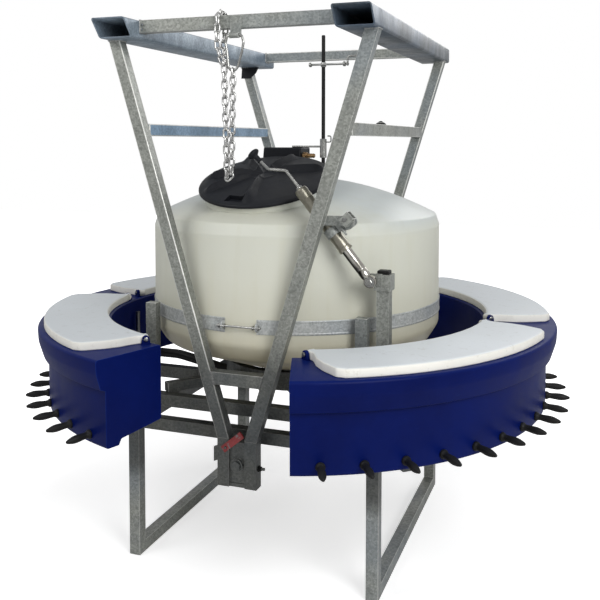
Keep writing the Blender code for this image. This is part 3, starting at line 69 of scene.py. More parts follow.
class Nodes:
    """A node tree, with short names for the nodes that are used here."""

    def __init__(self, tree):
        self.tree = tree

    def put(self, socket, value):
        if isinstance(value, bpy.types.NodeSocket):
            self.tree.links.new(value, socket)
        else:
            socket.default_value = value

    def node(self, kind, inputs=(), **settings):
        node = self.tree.nodes.new("ShaderNode" + kind)
        for key, value in settings.items():
            setattr(node, key, value)
        for key, value in dict(inputs).items():
            self.put(node.inputs[key], value)
        return node

    def maths(self, kind, first, second):
        return self.node("Math", {0: first, 1: second}, operation=kind).outputs[0]

    def times(self, first, second):
        return self.maths("MULTIPLY", first, second)

    def span(self, value, low, high, to_low=0.0, to_high=1.0):
        inputs = {"Value": value, "From Min": low, "From Max": high, "To Min": to_low, "To Max": to_high}
        return self.node("MapRange", inputs).outputs[0]


class Finish(Nodes):
    """A node material; every pattern is in object coordinates, which are metres here."""

    def __init__(self, name, roughness, metallic=0.0, **sockets):
        self.material = bpy.data.materials.new(name)
        self.material.use_nodes = True
        super().__init__(self.material.node_tree)
        self.shader = self.tree.nodes["Principled BSDF"]
        for key, value in dict(sockets, Roughness=roughness, Metallic=metallic).items():
            self.shader.inputs[key.replace("_", " ")].default_value = value
        self.place = self.node("TexCoord").outputs["Object"]

    def stretched(self, scale):
        return self.node("Mapping", {"Scale": scale, "Vector": self.place}).outputs[0]

    def noise(self, scale, detail=4.0, rough=0.55, vector=None, distortion=0.0):
        inputs = {"Scale": scale, "Detail": detail, "Roughness": rough, "Distortion": distortion,
            "Vector": vector or self.place}
        return self.node("TexNoise", inputs).outputs["Fac"]

    def cells(self, scale):
        return self.node("TexVoronoi", {"Scale": scale, "Vector": self.place}).outputs["Color"]

    def ramp(self, value, *stops):
        node = self.node("ValToRGB", {"Fac": value})
        line = node.color_ramp
        for index, (at, colour) in enumerate(stops):
            stop = line.elements[index] if index < 2 else line.elements.new(at)
            stop.position = at
            stop.color = rgba(colour if isinstance(colour, tuple) else (colour,) * 3)
        return node.outputs["Color"]

    def mix(self, factor, first, second, blend="MIX"):
        inputs = {0: factor, 6: rgba(first), 7: rgba(second)}
        return self.node("Mix", inputs, data_type="RGBA", blend_type=blend).outputs[2]

    def part(self, axis, vector=None):
        return self.node("SeparateXYZ", {0: vector or self.place}).outputs[axis]

    def facing(self, axis):
        return self.part(axis, self.node("NewGeometry").outputs["Normal"])

    def colour(self, value):
        self.put(self.shader.inputs["Base Color"], rgba(value))

    def roughness(self, value):
        self.put(self.shader.inputs["Roughness"], value)

    def bump(self, height, distance, strength):
        node = self.node("Bump", {"Distance": distance, "Strength": strength, "Height": height})
        self.put(self.shader.inputs["Normal"], node.outputs[0])


def galvanised(name, dark, light, spangle, blue, metallic):
    finish = Finish(name, 0.42, metallic)
    warp = finish.stretched((1.0, 1.0, 0.45))
    patches = finish.noise(11.0, 6.0, 0.68, warp, 0.3)
    grain = finish.noise(85.0, 4.0, 0.65)
    flakes = finish.part(0, finish.cells(150.0))
    body = finish.ramp(patches, (0.30, dark), (0.55, tuple((a + b) / 2 for a, b in zip(dark, light))),
        (0.75, light))
    flecked = finish.mix(spangle, body, finish.ramp(flakes, (0.0, 0.30), (1.0, 0.72)), "OVERLAY")
    cool = finish.ramp(finish.noise(2.3, 3.0, 0.5), (0.48, 0.0), (0.66, 1.0))
    tinted = finish.mix(finish.times(cool, blue), flecked, (0.12, 0.18, 0.27))
    speck = finish.ramp(grain, (0.36, 0.62), (0.50, 0.94), (0.66, 1.0))
    height = finish.span(finish.part(2), 0.0, 2.3)
    # Painted shade: steel from about 0.3 m to 1.05 m up, under the tank and troughs, is darkened by
    # height.
    shade_under_tank = finish.ramp(height, (0.0, 1.0), (0.14, 0.95), (0.175, 0.34), (0.26, 0.30), (0.38, 0.46),
        (0.46, 0.95), (1.0, 1.0))
    weathered = finish.mix(0.55, tinted, speck, "MULTIPLY")
    finish.colour(finish.mix(1.0, weathered, shade_under_tank, "MULTIPLY"))
    finish.roughness(finish.span(patches, 0.3, 0.7, 0.50, 0.32))
    finish.bump(finish.mix(0.5, flakes, grain), 0.0006, 0.35)
    return finish.material


def plated(name, dark, light, rough=(0.34, 0.20), scale=14.0, minus_x_shade=0.0):
    """Bright plating; the last argument sets how far the sides that face -X are darkened, which is
    painted shade and a painted dark reflection.
    """
    finish = Finish(name, 0.3, 1.0)
    wear = finish.noise(scale, 5.0, 0.6)
    fine = finish.noise(240.0, 3.0, 0.6)
    body = finish.ramp(wear, (0.32, dark), (0.68, light))
    # Painted shade and dark reflection: sides that face -X are darkened.
    side = finish.ramp(finish.span(finish.facing(0), -0.6, 0.6), (0.32, 1.0 - minus_x_shade), (0.56, 1.0))
    body = finish.mix(1.0, body, side, "MULTIPLY")
    finish.colour(finish.mix(0.35, body, finish.ramp(fine, (0.35, 0.55), (0.60, 1.0)), "MULTIPLY"))
    finish.roughness(finish.span(wear, 0.3, 0.7, *rough))
    finish.bump(fine, 0.0003, 0.3)
    return finish.material


def tank_finish():
    finish = Finish("tank_plastic", 0.40, Subsurface_Weight=0.10, Subsurface_Scale=0.02,
        Subsurface_Radius=(0.9, 0.9, 0.8), Specular_IOR_Level=0.45)
    height = finish.part(2)
    cloud = finish.noise(2.2, 5.0, 0.55, finish.stretched((1.0, 1.0, 0.7)))
    smear = finish.noise(3.0, 4.0, 0.6, finish.stretched((7.0, 7.0, 0.8)))
    # Colour by height: below about 1 m the wall turns darker and warmer, painted shade on the underside
    # inside the ring of troughs; towards the top it turns cooler and bluer, and on the front the shoulder
    # keeps the cream.
    level = finish.ramp(finish.span(height, 0.66, 1.62), (0.0, (0.36, 0.31, 0.20)),
        (0.26, (0.45, 0.41, 0.29)), (0.38, (0.64, 0.63, 0.52)), (0.60, (0.66, 0.665, 0.575)),
        (0.76, (0.64, 0.65, 0.57)), (0.82, (0.58, 0.615, 0.595)), (1.0, (0.50, 0.55, 0.56)))
    front = finish.times(finish.span(finish.part(1), -0.30, -0.56),
        finish.span(height, 1.36, 1.46, 0.0, 0.8))
    level = finish.mix(front, level, (0.645, 0.645, 0.545))
    clouded = finish.mix(0.30, level, finish.ramp(cloud, (0.30, 0.80), (0.62, 1.0)), "MULTIPLY")
    stains = finish.ramp(smear, (0.50, 1.0), (0.80, (0.93, 0.91, 0.84)))
    finish.colour(finish.mix(0.45, clouded, stains, "MULTIPLY"))
    finish.roughness(finish.span(cloud, 0.3, 0.7, 0.34, 0.48))
    finish.bump(finish.noise(38.0, 3.0, 0.5), 0.0015, 0.25)
    return finish.material


def blue_finish(name, low, high, scuffed):
    finish = Finish(name, 0.36, Specular_IOR_Level=0.07)
    cloud = finish.noise(3.5, 5.0, 0.6)
    scuff = finish.noise(26.0, 6.0, 0.7, finish.stretched((1.0, 1.0, 2.5)))
    upward = finish.span(finish.facing(2), 0.15, 0.95)
    body = finish.ramp(cloud, (0.30, low), (0.70, high))
    # Faces that point up are mixed towards a lighter blue.
    lighter_upward = finish.mix(finish.times(upward, 0.30), body, (0.006, 0.022, 0.17))
    marks = finish.times(finish.ramp(scuff, (0.62, 0.0), (0.78, 1.0)), scuffed)
    finish.colour(finish.mix(marks, lighter_upward, (0.012, 0.040, 0.20)))
    finish.roughness(finish.span(cloud, 0.3, 0.7, 0.34, 0.50))
    finish.bump(finish.noise(150.0, 2.0, 0.5), 0.0006, 0.3)
    return finish.material


def white_finish():
    finish = Finish("white_plastic", 0.45, Specular_IOR_Level=0.4)
    cloud = finish.noise(4.0, 5.0, 0.6)
    dirt = finish.noise(30.0, 6.0, 0.72)
    # Faces that point up take a cooler, greyer white than the cream sides: painted light from above on
    # one plastic.
    upward = finish.span(finish.facing(2), 0.72, 0.97)
    body = finish.mix(upward, (0.88, 0.865, 0.80), (0.665, 0.705, 0.740))
    shaded = finish.mix(0.40, body, finish.ramp(cloud, (0.30, 0.86), (0.65, 1.0)), "MULTIPLY")
    spots = finish.ramp(dirt, (0.30, (0.62, 0.60, 0.55)), (0.42, (1.0, 1.0, 1.0)))
    finish.colour(finish.mix(0.45, shaded, spots, "MULTIPLY"))
    finish.roughness(finish.span(cloud, 0.3, 0.7, 0.38, 0.55))
    finish.bump(finish.noise(120.0, 3.0, 0.5), 0.0006, 0.3)
    return finish.material


def dark_finish(name, low, high, rough=(0.42, 0.62), dust_and_sheen=0.1):
    finish = Finish(name, 0.5, Specular_IOR_Level=0.22)
    cloud = finish.noise(9.0, 5.0, 0.6)
    fine = finish.noise(160.0, 3.0, 0.6)
    body = finish.ramp(cloud, (0.30, low), (0.70, high))
    # Faces that point up are lightened in patches: partly dust, partly painted sheen.
    upward = finish.span(finish.facing(2), 0.3, 1.0)
    top_dust_and_sheen = finish.times(finish.times(upward, dust_and_sheen), finish.noise(14.0, 5.0, 0.7))
    finish.colour(finish.mix(top_dust_and_sheen, body, (0.06, 0.066, 0.08)))
    finish.roughness(finish.span(cloud, 0.3, 0.7, *rough))
    finish.bump(fine, 0.0005, 0.35)
    return finish.material


def red_finish():
    finish = Finish("red_paint", 0.5)
    wear = finish.noise(60.0, 6.0, 0.7)
    body = finish.ramp(finish.noise(20.0), (0.3, (0.17, 0.012, 0.014)), (0.7, (0.27, 0.035, 0.036)))
    chips = finish.ramp(wear, (0.56, 0.0), (0.60, 1.0))
    finish.colour(finish.mix(chips, body, (0.16, 0.14, 0.14)))
    finish.roughness(finish.span(wear, 0.3, 0.7, 0.40, 0.65))
    finish.bump(wear, 0.0004, 0.4)
    return finish.material


GALV = galvanised("galv", (0.225, 0.235, 0.215), (0.345, 0.355, 0.325), 0.60, 0.25, 0.28)
# A much lighter copy for rounded edges: partly worn zinc, partly painted highlight.
GALV_EDGE_WEAR_AND_HIGHLIGHT = galvanised("galv_edge_wear_and_highlight", (0.60, 0.61, 0.58), (0.86, 0.86, 0.81), 0.2, 0.0, 0.3)
GALV_STRAP = galvanised("galv_strap", (0.43, 0.45, 0.45), (0.60, 0.62, 0.60), 0.45, 0.30, 0.15)
GALV_SLEEVE = galvanised("galv_sleeve", (0.15, 0.19, 0.23), (0.30, 0.37, 0.44), 0.45, 0.4, 0.20)
# A darker copy of the sleeve steel for the right sleeve: painted shade.
GALV_SHADED = galvanised("galv_shaded", (0.050, 0.061, 0.072), (0.125, 0.148, 0.170), 0.45, 0.4, 0.20)
GALV_BLUE = galvanised("galv_blue", (0.17, 0.27, 0.38), (0.31, 0.46, 0.64), 0.45, 0.0, 0.20)
# Near black for the inner faces of hollow steel: painted shadow inside the tubes.
GALV_INSIDE_SHADE = galvanised("galv_inside_shade", (0.012, 0.012, 0.012), (0.030, 0.030, 0.030), 0.3, 0.0, 0.0)
WELD = galvanised("weld", (0.26, 0.27, 0.27), (0.52, 0.52, 0.50), 0.6, 0.0, 0.6)
ZINC = plated("zinc", (0.25, 0.255, 0.25), (0.46, 0.46, 0.44))
CHAIN = plated("chain_zinc", (0.30, 0.30, 0.30), (0.80, 0.80, 0.78), (0.30, 0.16), 60.0)
# The chrome's sides that face -X are darkened strongly: painted shade and dark reflection.
CHROME = plated("chrome", (0.20, 0.19, 0.165), (0.62, 0.60, 0.55), (0.24, 0.12), 16.0, minus_x_shade=0.95)
WARM_ZINC = plated("warm_zinc", (0.17, 0.162, 0.130), (0.34, 0.325, 0.272), (0.38, 0.26), 12.0)
BRASS = plated("brass", (0.20, 0.11, 0.045), (0.46, 0.31, 0.17), (0.45, 0.30), 80.0)
TANK = tank_finish()
BLUE = blue_finish("blue_plastic", (0.0008, 0.0048, 0.066), (0.0014, 0.0078, 0.095), 0.20)
# A lighter blue for rounded edges: partly scuffs, partly painted highlight.
BLUE_EDGE_SCUFF_AND_HIGHLIGHT = blue_finish("blue_edge_scuff_and_highlight", (0.0020, 0.0120, 0.110), (0.0060, 0.0260, 0.180), 0.50)
WHITE = white_finish()
BLACK = dark_finish("black_plastic", (0.0040, 0.0046, 0.0064), (0.0100, 0.0112, 0.0150), dust_and_sheen=0.12)
ROD_BLACK = dark_finish("rod_black", (0.004, 0.004, 0.004), (0.011, 0.011, 0.011))
RUBBER = dark_finish("rubber", (0.0035, 0.0035, 0.0035), (0.010, 0.0095, 0.009), (0.45, 0.65), 0.2)
RED = red_finish()


# Mesh tools

def to_mesh(shape, name):
    bmesh.ops.recalc_face_normals(shape, faces=shape.faces)
    if shape.calc_volume(signed=True) < 0:
        bmesh.ops.reverse_faces(shape, faces=shape.faces)
    mesh = bpy.data.meshes.new(name)
    shape.to_mesh(mesh)
    shape.free()
    return mesh


def new_object(name, mesh):
    item = bpy.data.objects.new(name, mesh)
    bpy.context.scene.collection.objects.link(item)
    return item


def polar(radius, angle, height=0.0):
    return Vector((radius * math.cos(angle), radius * math.sin(angle), height))


def loft(rings, closed_ring=True, caps=True, cyclic=False, shape=None):
    """Quads between rings of points; a ring of one point closes to a tip."""
    shape = shape or bmesh.new()
    rows = [[shape.verts.new(point) for point in ring] for ring in rings]
    pairs = list(zip(rows, rows[1:]))
    if cyclic:
        pairs.append((rows[-1], rows[0]))
    for first, second in pairs:
        count = max(len(first), len(second))
        for index in range(count if closed_ring else count - 1):
            after = (index + 1) % count
            corners = []
            for row, at in ((first, index), (second, index), (second, after), (first, after)):
                vert = row[0] if len(row) == 1 else row[at]
                if vert not in corners:
                    corners.append(vert)
            if len(corners) > 2:
                shape.faces.new(corners)
    if caps and not cyclic:
        for row in (rows[0], rows[-1]):
            if len(row) > 2:
                shape.faces.new(row)
    return shape


def revolve(profile, steps, place=None, shape=None):
    """(radius, height) pairs turned about the local Z axis; both ends on the axis, or a closed loop."""
    on_axis = 1e-7
    rings = []
    for radius, height in profile:
        count = steps if radius > on_axis else 1
        rings.append([polar(radius, math.tau * step / steps, height) for step in range(count)])
    if place is not None:
        rings = [[place @ point for point in ring] for ring in rings]
    return loft(rings, caps=False, cyclic=profile[0][0] > on_axis, shape=shape)


def sector(profile, start, end, steps):
    rings = []
    for step in range(steps + 1):
        angle = start + (end - start) * step / steps
        rings.append([polar(radius, angle, height) for radius, height in profile])
    return loft(rings)


def corner_arc(before, here, after, radius, steps, fitted=False):
    """The points of the arc that rounds a corner; a fitted arc never passes its sides' middles."""
    back = (before - here).normalized()
    ahead = (after - here).normalized()
    half = back.angle(ahead) / 2
    reach = radius / math.tan(half)
    if fitted:
        reach = min(reach, 0.49 * (before - here).length, 0.49 * (after - here).length)
        radius = reach * math.tan(half)
    middle = here + (back + ahead).normalized() * (radius / math.sin(half))
    first = here + back * reach - middle
    last = here + ahead * reach - middle
    sweep = first.angle(last)
    arc = []
    for step in range(steps + 1):
        share = step / steps
        arc.append(middle + (first * math.sin((1 - share) * sweep) + last * math.sin(share * sweep))
            / math.sin(sweep))
    return arc


def rounded(points, closed=True, steps=5):
    """Corner points (x, y, fillet radius) turned into a smooth flat outline."""
    result = []
    count = len(points)
    for index, (x, y, radius) in enumerate(points):
        if radius <= 0 or (not closed and index in (0, count - 1)):
            result.append((x, y))
            continue
        before, after = Vector(points[index - 1][:2]), Vector(points[(index + 1) % count][:2])
        result += [(point.x, point.y) for point in corner_arc(before, Vector((x, y)), after, radius,
            steps, True)]
    return result


def bent(points, radius, steps=8):
    """Corner points of a bent rod, each corner an arc."""
    points = [Vector(point) for point in points]
    path = [points[0]]
    for before, corner, after in zip(points, points[1:], points[2:]):
        path += corner_arc(before, corner, after, radius, steps)
    return path + [points[-1]]


def tube(points, radius, sides, cyclic=False, shape=None, ends=0.0):
    """A round bar along points; radius may be a function of the point's index."""
    points = [Vector(point) for point in points]
    count = len(points)
    rings = []
    normal = None
    for index, point in enumerate(points):
        if cyclic:
            way = points[(index + 1) % count] - points[index - 1]
        else:
            way = points[min(index + 1, count - 1)] - points[max(index - 1, 0)]
        way.normalize()
        if normal is None:
            normal = way.orthogonal().normalized()
        normal = (normal - way * normal.dot(way)).normalized()
        side = way.cross(normal)
        size = radius(index) if callable(radius) else radius
        rings.append([point + (normal * math.cos(math.tau * step / sides)
            + side * math.sin(math.tau * step / sides)) * size for step in range(sides)])
        if not cyclic and ends and index in (0, count - 1):
            out = -way if index == 0 else way
            soft = [[point + out * ends * 0.6 + (ring - point) * 0.8 for ring in rings[-1]],
                [point + out * ends + (ring - point) * 0.45 for ring in rings[-1]]]
            if index == 0:
                rings = [soft[1], soft[0]] + rings
            else:
                rings += soft
    return loft(rings, cyclic=cyclic, shape=shape)


def block(low, high, move=None, shape=None):
    corners = [Vector((x, y, z)) for z in (low[2], high[2])
        for x, y in ((low[0], low[1]), (high[0], low[1]), (high[0], high[1]), (low[0], high[1]))]
    if move:
        corners = [Vector(move(corner)) for corner in corners]
    return loft([corners[:4], corners[4:]], shape=shape)


def hexagon(place, radius, thick, shape):
    """A nut or bolt head standing on the place's XY plane, its top edge eased."""
    rings = []
    for height, size in ((0.0, 1.0), (thick * 0.85, 1.0), (thick, 0.86)):
        rings.append([place @ polar(radius * size, math.radians(60 * step), height) for step in range(6)])
    return loft(rings, shape=shape)


def aim(point, way):
    return Matrix.Translation(point) @ Vector(way).to_track_quat("Z", "Y").to_matrix().to_4x4()


def carve(item, operation, *meshes):
    """Joins or cuts with each mesh in turn, and bakes the result into the object."""
    tools = [new_object(f"{item.name}_tool_{index}", mesh) for index, mesh in enumerate(meshes)]
    for tool in tools:
        step = item.modifiers.new("carve", "BOOLEAN")
        step.operation = operation
        step.solver = "EXACT"
        step.object = tool
    bpy.context.view_layer.update()
    seen = item.evaluated_get(bpy.context.evaluated_depsgraph_get())
    mesh = bpy.data.meshes.new_from_object(seen)
    item.modifiers.clear()
    item.data = mesh
    for tool in tools:
        bpy.data.objects.remove(tool, do_unlink=True)


def eased(item, width, segments, angle, edge=None):
    """Rounded edges; edge is the material index of the new faces."""
    step = item.modifiers.new("ease", "BEVEL")
    step.width = width
    step.segments = segments
    step.limit_method = "ANGLE"
    step.angle_limit = math.radians(angle)
    if edge is not None:
        step.material = edge


def paint(mesh, *materials):
    mesh.materials.clear()
    for material in materials:
        mesh.materials.append(material)


def piece(name, source, materials, body, replaces=(), sharp=35.0, ease=None):
    """Names, paints and mounts one piece; source is a bmesh, a mesh or an object."""
    if isinstance(source, bmesh.types.BMesh):
        source = to_mesh(source, name)
    item = source if isinstance(source, bpy.types.Object) else new_object(name, source)
    item.name = name
    paint(item.data, *(materials if isinstance(materials, tuple) else (materials,)))
    if ease:
        eased(item, *ease)
    item.data.shade_smooth()
    item.data.set_sharp_from_angle(angle=math.radians(sharp))
    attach(item, body)
    if replaces:
        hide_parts(*replaces)


# Milk lines

PORT_Z = 0.640
TAP_Z = 0.722
TROUGH_INNER = 0.852
TAP_REACH = TROUGH_INNER - 0.067


def build_hoses():
    end_x = TAP_REACH - GAP
    for side, sign in (("left", -1), ("right", 1)):
        line = bent([(sign * 0.052, 0, PORT_Z), (sign * 0.200, 0, PORT_Z), (sign * 0.620, 0, TAP_Z),
            (sign * end_x, 0, TAP_Z)], 0.300, 12)
        item = new_object(f"hose_{side}_tube", to_mesh(tube(line, 0.0222, 28), "hose"))
        piece(item.name, item, RUBBER, "base", (f"hose_{side}",), sharp=60.0)
        clips = bmesh.new()
        for at, height in ((0.075, PORT_Z), (end_x - 0.018, TAP_Z)):
            place = aim((sign * at, 0, height), (1, 0, 0))
            revolve([(0.0223, -0.006), (0.0236, -0.006), (0.0236, 0.006), (0.0223, 0.006)], 36, place,
                clips)
            hexagon(place @ Matrix.Translation((0, 0.026, 0)), 0.006, 0.010, clips)
        piece(f"hose_{side}_clips", clips, ZINC, "base")


build_hoses()


# Steel that keeps its imported shape, its rounded edges in a much lighter copy of the steel: partly worn
# zinc, partly painted highlight

EDGED = ["side_frame_left", "side_frame_right", "front_rail", "rear_rail", "cradle_front", "cradle_rear",
    "cradle_arm_front_right", "cradle_arm_rear_right", "cradle_arm_rear_left", "cradle_arm_front_left",
    "jack_post", "crossbar_front", "crossbar_rear", "tie_front", "tie_rear", "foot_front", "foot_rear",
    "v_leg_front_left", "v_leg_front_right", "v_leg_rear_left", "v_leg_rear_right", "rung_left",
    "rung_right"]


def edge_node(name, width, material):
    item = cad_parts[name]
    paint(item.data, material, GALV_EDGE_WEAR_AND_HIGHLIGHT)
    weld = item.modifiers.new("weld", "WELD")
    weld.merge_threshold = 0.00002
    # The new edge faces take the second slot, the lighter copy: partly wear, partly painted highlight.
    eased(item, width, 3, 40.0, 1)


for node in EDGED:
    edge_node(node, 0.0025 if node == "jack_post" else 0.004, GALV_BLUE if node == "rung_left" else GALV)
for node, material in (("cradle_ring", GALV), ("pivot_pin_front", GALV), ("pivot_pin_rear", GALV),
        ("tap_lever_left", ZINC), ("tap_lever_right", ZINC), ("latch_lever", RED)):
    paint(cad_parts[node].data, material)


# Fork sleeves

SLEEVE_X = 0.495
SLEEVE_BOTTOM = 2.189
SLEEVE_TOP = 2.264
SLEEVE_FRONT = -0.818
SLEEVE_REAR = 0.775
SLEEVE_SLANT = 0.063
SLEEVE_HALF = 0.075
SLEEVE_WALL = 0.006


def sleeve(side, sign):
    """A rectangular tube with rounded corners, its mouth cut on the slant."""
    def ring(inset, radius, y, slanted):
        wide, low, high = SLEEVE_HALF - inset, SLEEVE_BOTTOM + inset, SLEEVE_TOP - inset
        points = []
        for x, z in rounded([(-wide, low, radius), (wide, low, radius), (wide, high, radius),
                (-wide, high, radius)], steps=4):
            shift = SLEEVE_SLANT * (SLEEVE_TOP - z) / (SLEEVE_TOP - SLEEVE_BOTTOM) if slanted else 0.0
            points.append(Vector((sign * SLEEVE_X + x, y + shift, z)))
        return points

    rings = [ring(0.0, 0.010, SLEEVE_FRONT, True), ring(0.0, 0.010, SLEEVE_REAR, False),
        ring(SLEEVE_WALL, 0.005, SLEEVE_REAR, False), ring(SLEEVE_WALL, 0.005, SLEEVE_FRONT, True)]
    mesh = to_mesh(loft(rings, cyclic=True, caps=False), "sleeve")
    # The inner faces take the second slot, near black: painted shadow inside the tube.
    inner = SLEEVE_HALF - SLEEVE_WALL + 0.0001
    for face in mesh.polygons:
        spots = [mesh.vertices[index].co for index in face.vertices]
        if all(abs(spot.x - sign * SLEEVE_X) < inner
                and SLEEVE_BOTTOM + 0.0055 < spot.z < SLEEVE_TOP - 0.0055 for spot in spots):
            face.material_index = 1
    # The right sleeve gets the darker copy, which is painted shade; the left keeps the lighter sleeve
    # steel.
    steel = GALV_SLEEVE if side == "left" else GALV_SHADED
    piece(f"fork_sleeve_{side}_tube", mesh, (steel, GALV_INSIDE_SHADE), "lift_frame",
        (f"fork_sleeve_{side}",), ease=(0.0012, 2, 50.0))


sleeve("left", -1)
sleeve("right", 1)


# Tank

TANK_RADIUS = 0.655
TANK_CROWN = 1.615
TANK_WALL = 0.008
PLUNGER_X = 0.129
LID_PLACE = Matrix.Translation((-0.030, -0.318, 1.599)) @ Matrix.Rotation(math.radians(19.5), 4, "X")


def dome_height(radius):
    return TANK_CROWN - 0.40 * radius ** 2


def tank_line(inset):
    points = [(0.0, TANK_CROWN - inset)]
    points += [(0.6 * step / 14, dome_height(0.6 * step / 14) - inset) for step in range(1, 14)]
    line = [(0.575, dome_height(0.575) - inset, 0.0), (0.639 - inset, 1.452 - inset, 0.014),
        (TANK_RADIUS - inset, 1.405, 0.030), (TANK_RADIUS - inset, 1.140, 0.0),
        (TANK_RADIUS - inset, 0.965, 0.055), (TANK_RADIUS - 0.045 - inset, 0.893 + inset * 0.4, 0.045),
        (0.060 - inset, 0.700 + inset * 0.6, 0.012)]
    points += rounded(line + [(0.060 - inset, 0.672 if not inset else 0.65, 0.0)], closed=False, steps=6)
    return points + [(0.0, points[-1][1])]


def build_tank():
    tank = new_object("tank_shell", to_mesh(revolve(tank_line(0.0), 128), "tank_shell"))
    neck = to_mesh(revolve([(0, -GAP), (0.270, -GAP), (0.272, -0.004), (0.272, -0.16), (0, -0.16)], 96,
        LID_PLACE), "neck")
    carve(tank, "UNION", neck)
    hollow = to_mesh(revolve(tank_line(TANK_WALL), 96), "hollow")
    bore = to_mesh(revolve([(0, 0.05), (0.262, 0.05), (0.262, -0.22), (0, -0.22)], 96, LID_PLACE), "bore")
    hole = to_mesh(tube([(PLUNGER_X, 0, 1.50), (PLUNGER_X, 0, 1.66)], 0.0135, 24), "hole")
    carve(tank, "DIFFERENCE", hollow, bore, hole)
    piece("tank_shell", tank, TANK, "base", ("tank",), ease=(0.003, 3, 30.0))


build_tank()


def build_tank_lid():
    """The round filling lid: a domed disc in creased panels, with a boss, a recess and a skirt."""
    outer = 0.288
    steps = 144
    creases = (25, 78, 130, 180, 218, 274)

    def height(radius, angle):
        share = radius / outer
        top = 0.020 + 0.026 * (1 - share ** 1.7)
        apart = min(abs((math.degrees(angle) - crease + 180) % 360 - 180) for crease in creases)
        rise = max(0.0, 1 - apart / (4.5 + 2.0 / max(share, 0.12)))
        fold = 0.026 * rise * min(1.0, share * 3.0) * (1 - max(0.0, (share - 0.80) / 0.14))
        ring = 0.004 * max(0.0, 1 - abs(radius - 0.062) / 0.010)
        knob = 0.016 * max(0.0, 1 - (Vector((radius * math.cos(angle) + 0.085,
            radius * math.sin(angle) - 0.120)).length / 0.030) ** 2)
        return top + (fold if share < 0.94 else 0.0) + ring + knob

    def ring(radius, level=None):
        turns = [math.tau * step / steps for step in range(steps)]
        return [LID_PLACE @ polar(radius, turn, height(radius, turn) if level is None else level)
            for turn in turns]

    radii = [0.012, 0.03, 0.05, 0.056, 0.062, 0.068, 0.08] + [0.1 + 0.0135 * i for i in range(13)]
    rim = [(0.270, 0.0215), (0.278, 0.0203), (0.284, 0.0180), (0.2872, 0.0140), (outer, 0.010),
        (outer, 0.0060), (0.2870, 0.0045), (0.2795, 0.0045), (0.278, 0.0035), (0.278, GAP)]
    rings = [[LID_PLACE @ Vector((0, 0, height(0.0, 0.0)))]]
    rings += [ring(radius) for radius in radii] + [ring(radius, level) for radius, level in rim]
    rings.append([LID_PLACE @ Vector((0, 0, GAP))])
    item = new_object("tank_lid_cap", to_mesh(loft(rings, caps=False), "tank_lid_cap"))
    recess = block((-0.041, -0.263, 0.0120), (0.041, -0.218, 0.08),
        lambda point: LID_PLACE @ Matrix.Rotation(math.radians(-9), 4, "Z") @ point)
    carve(item, "DIFFERENCE", to_mesh(recess, "recess"))
    piece("tank_lid_cap", item, BLACK, "tank_lid", ("tank_lid",), sharp=24.0)


build_tank_lid()


# Troughs

TROUGH_LOW = 1.121
TROUGH_TOP = 0.985
TEATS = 18
TEAT_Z = 0.680
HALF_ANGLE = math.radians(71.3)
LID_MID = math.radians(35.5)
COVER_HALF = math.radians(27.3)
HINGE_RADIUS = 0.885
HINGE_HALF = math.radians(32.5)
HINGE_Z = 1.005
HINGE_CHORD = HINGE_RADIUS * math.cos(HINGE_HALF)
HINGE_REACH = HINGE_RADIUS * math.sin(HINGE_HALF)


def cover_axes(angle):
    out = polar(1.0, angle)
    return Matrix(((out.y, out.x, 0, 0), (-out.x, out.y, 0, 0), (0, 0, 1, 0), (0, 0, 0, 1)))


